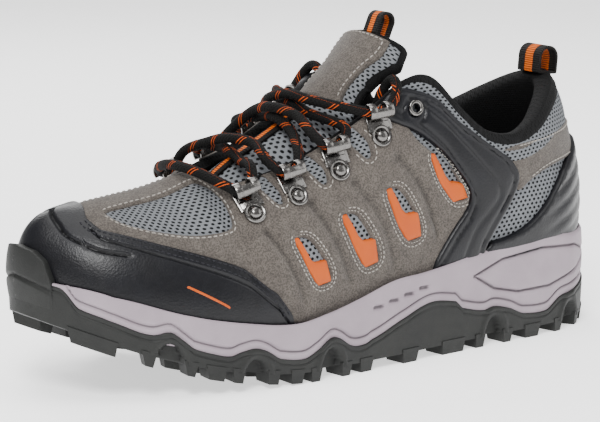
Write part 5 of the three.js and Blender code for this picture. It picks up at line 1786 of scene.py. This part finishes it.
@dataclass
class Tongue:
    """Padded mesh tongue with its binding, suede patch and keeper ribbon."""

    finishes: Finishes

    def build(self) -> None:
        """Builds the tongue, whose padding swells over its upper half."""
        body = Piece("padded tongue", self.finishes.mesh)
        t, across = np.meshgrid(np.linspace(0, 9, 100), np.linspace(-1, 1, 41), indexing="ij")
        edge = np.sqrt(np.clip(1 - np.abs(across) ** 8, 0, 1))
        end = np.sqrt(np.clip((9.0 - t) / 0.25, 0, 1))
        puff = 0.5 * np.sin(np.clip((t - 5) / 4, 0, 1) * np.pi)
        top = tongue_point(t, across * 0.985, (-0.4 + puff) * edge * end - 2.6 * (1 - edge * end))
        low = tongue_point(t, across * 0.985, -6.0 + 2.6 * (1 - edge * end))
        uv = np.stack([across * 22, t * 13], -1)
        body.grid(top, low, uv)
        flap = body.build(60, ride=False)
        self._hinge(flap)
        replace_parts(flap, "tongue_lower", "tongue_top")
        self._binding()
        self._patch()
        self._keeper()

    def _hinge(self, obj: bpy.types.Object) -> None:
        """Bakes a piece's placement into its mesh.

        Args:
            obj: The piece.
        """
        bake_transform(obj)

    def _binding(self) -> None:
        """Sews the knit binding round the top of the tongue."""
        piece = Piece("tongue binding", self.finishes.binding, "tongue_flap")
        rim = [(t, -0.985) for t in np.linspace(5.6, 8.8, 30)]
        rim += [(8.8 + 0.2 * math.sin(a), -0.985 + 0.2 * (1 - math.cos(a))) for a in np.linspace(0.2, 1.4, 6)]
        rim += [(9.0, a) for a in np.linspace(-0.74, 0.74, 30)]
        rim += [(8.8 + 0.2 * math.cos(a), 0.985 - 0.2 * (1 - math.sin(a))) for a in np.linspace(0.2, 1.4, 6)]
        rim += [(t, 0.985) for t in np.linspace(8.8, 5.6, 30)]
        rim = np.array(rim)
        path = spaced(tongue_point(rim[:, 0], rim[:, 1], -3.2), 1.2)
        piece.tube(path, ring_section(3.0, 12, 0.62),
                   np.array([0.5, 0, 0.4]))
        piece.build(60)

    def _patch(self) -> None:
        """Sews the suede patch on, with a line of light stitches inside its edge."""
        piece = Piece("tongue patch", self.finishes.suede, "tongue_flap")
        t, across = np.meshgrid(np.linspace(5.25, 8.9, 60), np.linspace(-0.72, 0.72, 41), indexing="ij")
        gap = np.minimum(np.minimum(t - 5.25, 8.9 - t) * 10, (0.72 - np.abs(across)) * 20)
        face = 0.3 + 1.4 * np.sqrt(np.clip(1 - (1 - np.clip(gap / 1.2, 0, 1)) ** 2, 0, 1))
        piece.grid(tongue_point(t, across, face), tongue_point(t, across, np.full_like(t, 0.0)),
                   np.stack([across * 22, t * 13], -1))
        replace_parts(piece.build(50), "tongue_patch")
        thread = Piece("tongue stitching", self.finishes.thread, "tongue_flap")
        ring = [(u, -0.62) for u in np.linspace(5.5, 8.6, 40)]
        ring += [(8.7, a) for a in np.linspace(-0.6, 0.6, 40)]
        ring += [(u, 0.62) for u in np.linspace(8.6, 5.5, 40)]
        ring = np.array(ring)
        path = tongue_point(ring[:, 0], ring[:, 1], 1.68)
        normal = tongue_point(ring[:, 0], ring[:, 1], 2.68) - path
        sew(thread, path, normal, 2.6, 1.9, 0.3)
        thread.build(weld=False)

    def _keeper(self) -> None:
        """Lays the ribbon that the lace passes over."""
        piece = Piece("keeper ribbon", self.finishes.ribbon)
        t, across = np.meshgrid(np.linspace(1.4, 4.75, 80), np.linspace(-1, 1, 11), indexing="ij")
        rise = 1.5 - 0.5 * np.abs(across) ** 6 - 0.6 * np.clip(1 - np.minimum(t - 1.4, 4.75 - t) / 0.08, 0, 1)
        piece.grid(tongue_point(t, across * 0.13, rise), tongue_point(t, across * 0.13, np.full_like(t, 0.1)),
                   np.stack([(across + 1) / 2, t * 14], -1))
        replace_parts(piece.build(50), "keeper_ribbon")


@dataclass
class Loop:
    """A pull loop of ribbon."""

    name: str
    node: str
    body: str
    foot: tuple[float, float, float]
    lean: float
    height: float
    opening: float
    width: float
    thickness: float = 1.1

    def build(self, finishes: Finishes) -> None:
        """Bends the ribbon into its loop.

        Args:
            finishes: Materials.
        """
        piece = Piece(self.name, finishes.ribbon, self.body)
        r = self.opening / 2 + self.thickness / 2
        crown = self.height - (self.opening / 2 + self.thickness)
        line = [(r, 0.7 + (crown - 0.7) * s) for s in np.linspace(0, 0.92, 8)]
        line += [(r * math.cos(a), crown + r * math.sin(a)) for a in np.linspace(0, math.pi, 26)]
        line += [(-r, 0.7 + (crown - 0.7) * s) for s in np.linspace(0.92, 0, 8)]
        base = [(-r * 0.6, 0.55), (0.0, 0.5), (r * 0.6, 0.55)]
        path = spaced(np.array(line + base), 0.5, True)
        local = np.stack([path[:, 0], 0 * path[:, 0], path[:, 1]], -1)
        matrix = Matrix.Translation(Vector(self.foot)) @ Matrix.Rotation(self.lean, 4, "Y")
        world = moved(matrix, local)
        half, thin = self.width / 2, self.thickness / 2
        across = np.concatenate([np.linspace(-half, half, 13), np.linspace(half, -half, 13)])
        lift = np.concatenate([np.full(13, -thin), np.full(13, thin)])
        run = np.roll(world, -1, 0) - np.roll(world, 1, 0)
        side = np.array([0, 1.0, 0])
        up = np.cross(run, side)
        up /= np.linalg.norm(up, axis=1, keepdims=True)
        rings = world[:, None] + side[None, None] * across[None, :, None] + up[:, None] * lift[None, :, None]
        walked = np.arange(len(world)) * 0.5
        uvs = np.stack(np.broadcast_arrays((across / self.width + 0.5)[None], walked[:, None]), -1)
        n, m = rings.shape[:2]
        faces = [(i * m + j, i * m + (j + 1) % m, ((i + 1) % n) * m + (j + 1) % m, ((i + 1) % n) * m + j)
                 for i in range(n) for j in range(m)]
        piece.add(rings.reshape(-1, 3), faces, uvs.reshape(-1, 2))
        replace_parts(piece.build(50), self.node)


# ---- Lace ----

class Lacing:
    """The lace from one tip, up through the hooks, and back to the other."""

    DIAMETER = 4.5

    def __init__(self, hardware: Hardware) -> None:
        """Routes the lace.

        Args:
            hardware: Gives the hooks' places.
        """
        self.hardware = hardware
        route = np.array(self._route())
        self.path = self._curve(route)

    def _by_hook(self, side: int, i: int, toeward: float, up: float = 0.0, out: float = 0.0) -> Array:
        """Returns a point beside a hook's tunnel."""
        local = np.array([[side * toeward, REACH + up, LIFT + TUNNEL + out]])
        return moved(self.hardware.seats[side, i], local)[0]

    def _through(self, side: int, i: int, way: int) -> list[Array]:
        """Returns the two points inside a tunnel."""
        return [self._by_hook(side, i, -3 * way), self._by_hook(side, i, 3 * way)]

    def _lead(self, side: int, i: int, toeward: int) -> Array:
        """Returns the point where the lace turns towards a tunnel."""
        return self._by_hook(side, i, 7.5 * toeward, HOOKS[i - 1][1] - REACH + 2.2, -0.9)

    def _across(self, side: int, t: float, height: float, slant: float) -> list[Array]:
        """Returns the points where the lace crosses the tongue."""
        return [tongue_point(t + s * slant, side * s * 0.4, height + s * s * 0.4) for s in (-1, 0, 1)]

    def _footbed(self, spots: Sequence[Point2]) -> list[Array]:
        """Returns points on the footbed."""
        return [np.array([x, y, float(profile(FLOOR, np.array([x]))[0]) + 8.85]) for x, y in spots]

    def _route(self) -> list[Array]:
        """Returns the corners of the route."""
        by, through, lead, across = self._by_hook, self._through, self._lead, self._across
        under, over = 4.9, 9.7
        spot = lambda *rows: [np.array(r, float) for r in rows]
        r = self._footbed(((50, 0), (64, 5), (84, 8), (99, 5.5), (106, -2), (101, -11), (82, -15.6),
                           (62, -16.5), (44, -17.5)))
        r += spot((30, -19.2, 41), (22, -21, 52), (19, -22, 74), (18.5, -22, 98), (18.7, -22, 113))
        r += [by(-1, 4, -10.9, 11.3, -9.5), by(-1, 4, -12, 12.6, -4.2), by(-1, 4, -10.8, 8.5, -0.2),
              by(-1, 4, -7.5, 3.4, 0.9)]
        r += through(-1, 4, 1) + across(1, 4.45, over, -0.15)
        r += [lead(1, 3, -1), *through(1, 3, 1), lead(1, 3, 1)] + across(-1, 3.6, under, -0.15)
        r += [lead(-1, 2, -1), *through(-1, 2, 1), lead(-1, 2, 1)] + across(1, 2.2, over, -0.15)
        r += [lead(1, 1, -1), *through(1, 1, 1), by(1, 1, 7.3, 5.8, -1.2)]
        r += [tongue_point(0.75, 0.4, 14.6), tongue_point(0.7, 0.0, 14.8), tongue_point(0.75, -0.4, 14.6)]
        r += [by(-1, 1, 7.3, 5.8, -1.2), *through(-1, 1, -1), lead(-1, 1, -1)] + across(1, 2.1, under, 0.15)
        r += [lead(1, 2, 1), *through(1, 2, -1), lead(1, 2, -1)] + across(-1, 3.65, over, 0.1)
        r += [lead(-1, 3, 1), *through(-1, 3, -1), lead(-1, 3, -1)] + across(1, 4.45, under, 0.15)
        r += [by(1, 4, 11, 5.5, -6), *through(1, 4, -1), by(1, 4, -7.5, 3.4, 0.9), by(1, 4, -10.8, 8.5, -0.2),
              by(1, 4, -12, 12.6, -4.2), by(1, 4, -10.9, 11.5, -10.6)]
        r += spot((18.7, 22, 113), (18.3, 21.8, 98), (17, 20, 80), (13.5, 15.5, 60), (6, 10.5, 43))
        r += self._footbed(((-6, 7), (-22, 7), (-42, 9), (-60, 12.2), (-78, 11.5), (-90, -1), (-84, -10),
                            (-72, -13.8), (-58, -14), (-44, -11.4)))
        return r

    def _curve(self, route: Array) -> Array:
        """Rounds the route with a centripetal curve.

        Args:
            route: Its corners.
        """
        first, final = 2 * route[0] - route[1], 2 * route[-1] - route[-2]
        rows = np.concatenate([[first], route, [final]])
        out = []
        for i in range(1, len(rows) - 2):
            p = rows[i - 1:i + 3]
            knots = np.concatenate([[0], np.cumsum(np.linalg.norm(np.diff(p, axis=0), axis=1) ** 0.5)])
            t = np.linspace(knots[1], knots[2], 20, endpoint=False)[:, None]
            mixed = list(p)
            for level in (1, 2):
                spans = [(knots[j], knots[j + level]) for j in range(4 - level)]
                mixed = [((high - t) * mixed[j] + (t - low) * mixed[j + 1]) / (high - low)
                         for j, (low, high) in enumerate(spans)]
            low, high = knots[1], knots[2]
            out.append(((high - t) * mixed[0] + (t - low) * mixed[1]) / (high - low))
        return spaced(np.concatenate([*out, route[-1:]]), 0.9)

    def build(self, finishes: Finishes) -> None:
        """Builds the lace and its tips.

        Args:
            finishes: Materials.
        """
        lace = Piece("braided lace", finishes.lace)
        lace.tube(self.path, ring_section(self.DIAMETER / 2, 14))
        cord = lace.build(60)
        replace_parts(cord, "lace")
        for name, node, end, before in (("lace tip 1", "aglet_1", self.path[0], self.path[4]),
                                        ("lace tip 2", "aglet_2", self.path[-1], self.path[-5])):
            way = (end - before) / np.linalg.norm(end - before)
            steps = np.linspace(0, 1, 12)
            line = end + way * (0.3 + steps[:, None] * 20)
            line[:, 2] = end[2]
            tip = Piece(name, finishes.film)
            scale = np.where(steps < 0.05, 0.93, np.where(steps > 0.97, 0.8, 1.0))
            tip.tube(line, ring_section(2.1, 20), scale=scale)
            obj = tip.build()
            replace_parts(obj, node)
        [tuple(p * MM) for p in self.path]


def main() -> None:
    """Builds the shoe, one sub-assembly at a time."""
    logging.basicConfig(level=logging.INFO, format="%(message)s")
    finishes = Finishes()
    last = Last()
    Studio().build()
    hardware = Hardware(last, finishes)
    Lacing(hardware).build(finishes)
    Sole(last, finishes).build()
    Upper(last, Cutter(last), finishes).build()
    hardware.build()
    Tongue(finishes).build()
    Loop("tongue loop", "tongue_loop", "tongue_loop", (30.721, -4, 138.479), 0.42, 12, 6.5, 9).build(finishes)
    Loop("heel loop", "heel_loop", "heel_loop", (128.2, 0, 114.4), 0.1, 13, 9, 15).build(finishes)


if __name__ == "__main__":
    main()
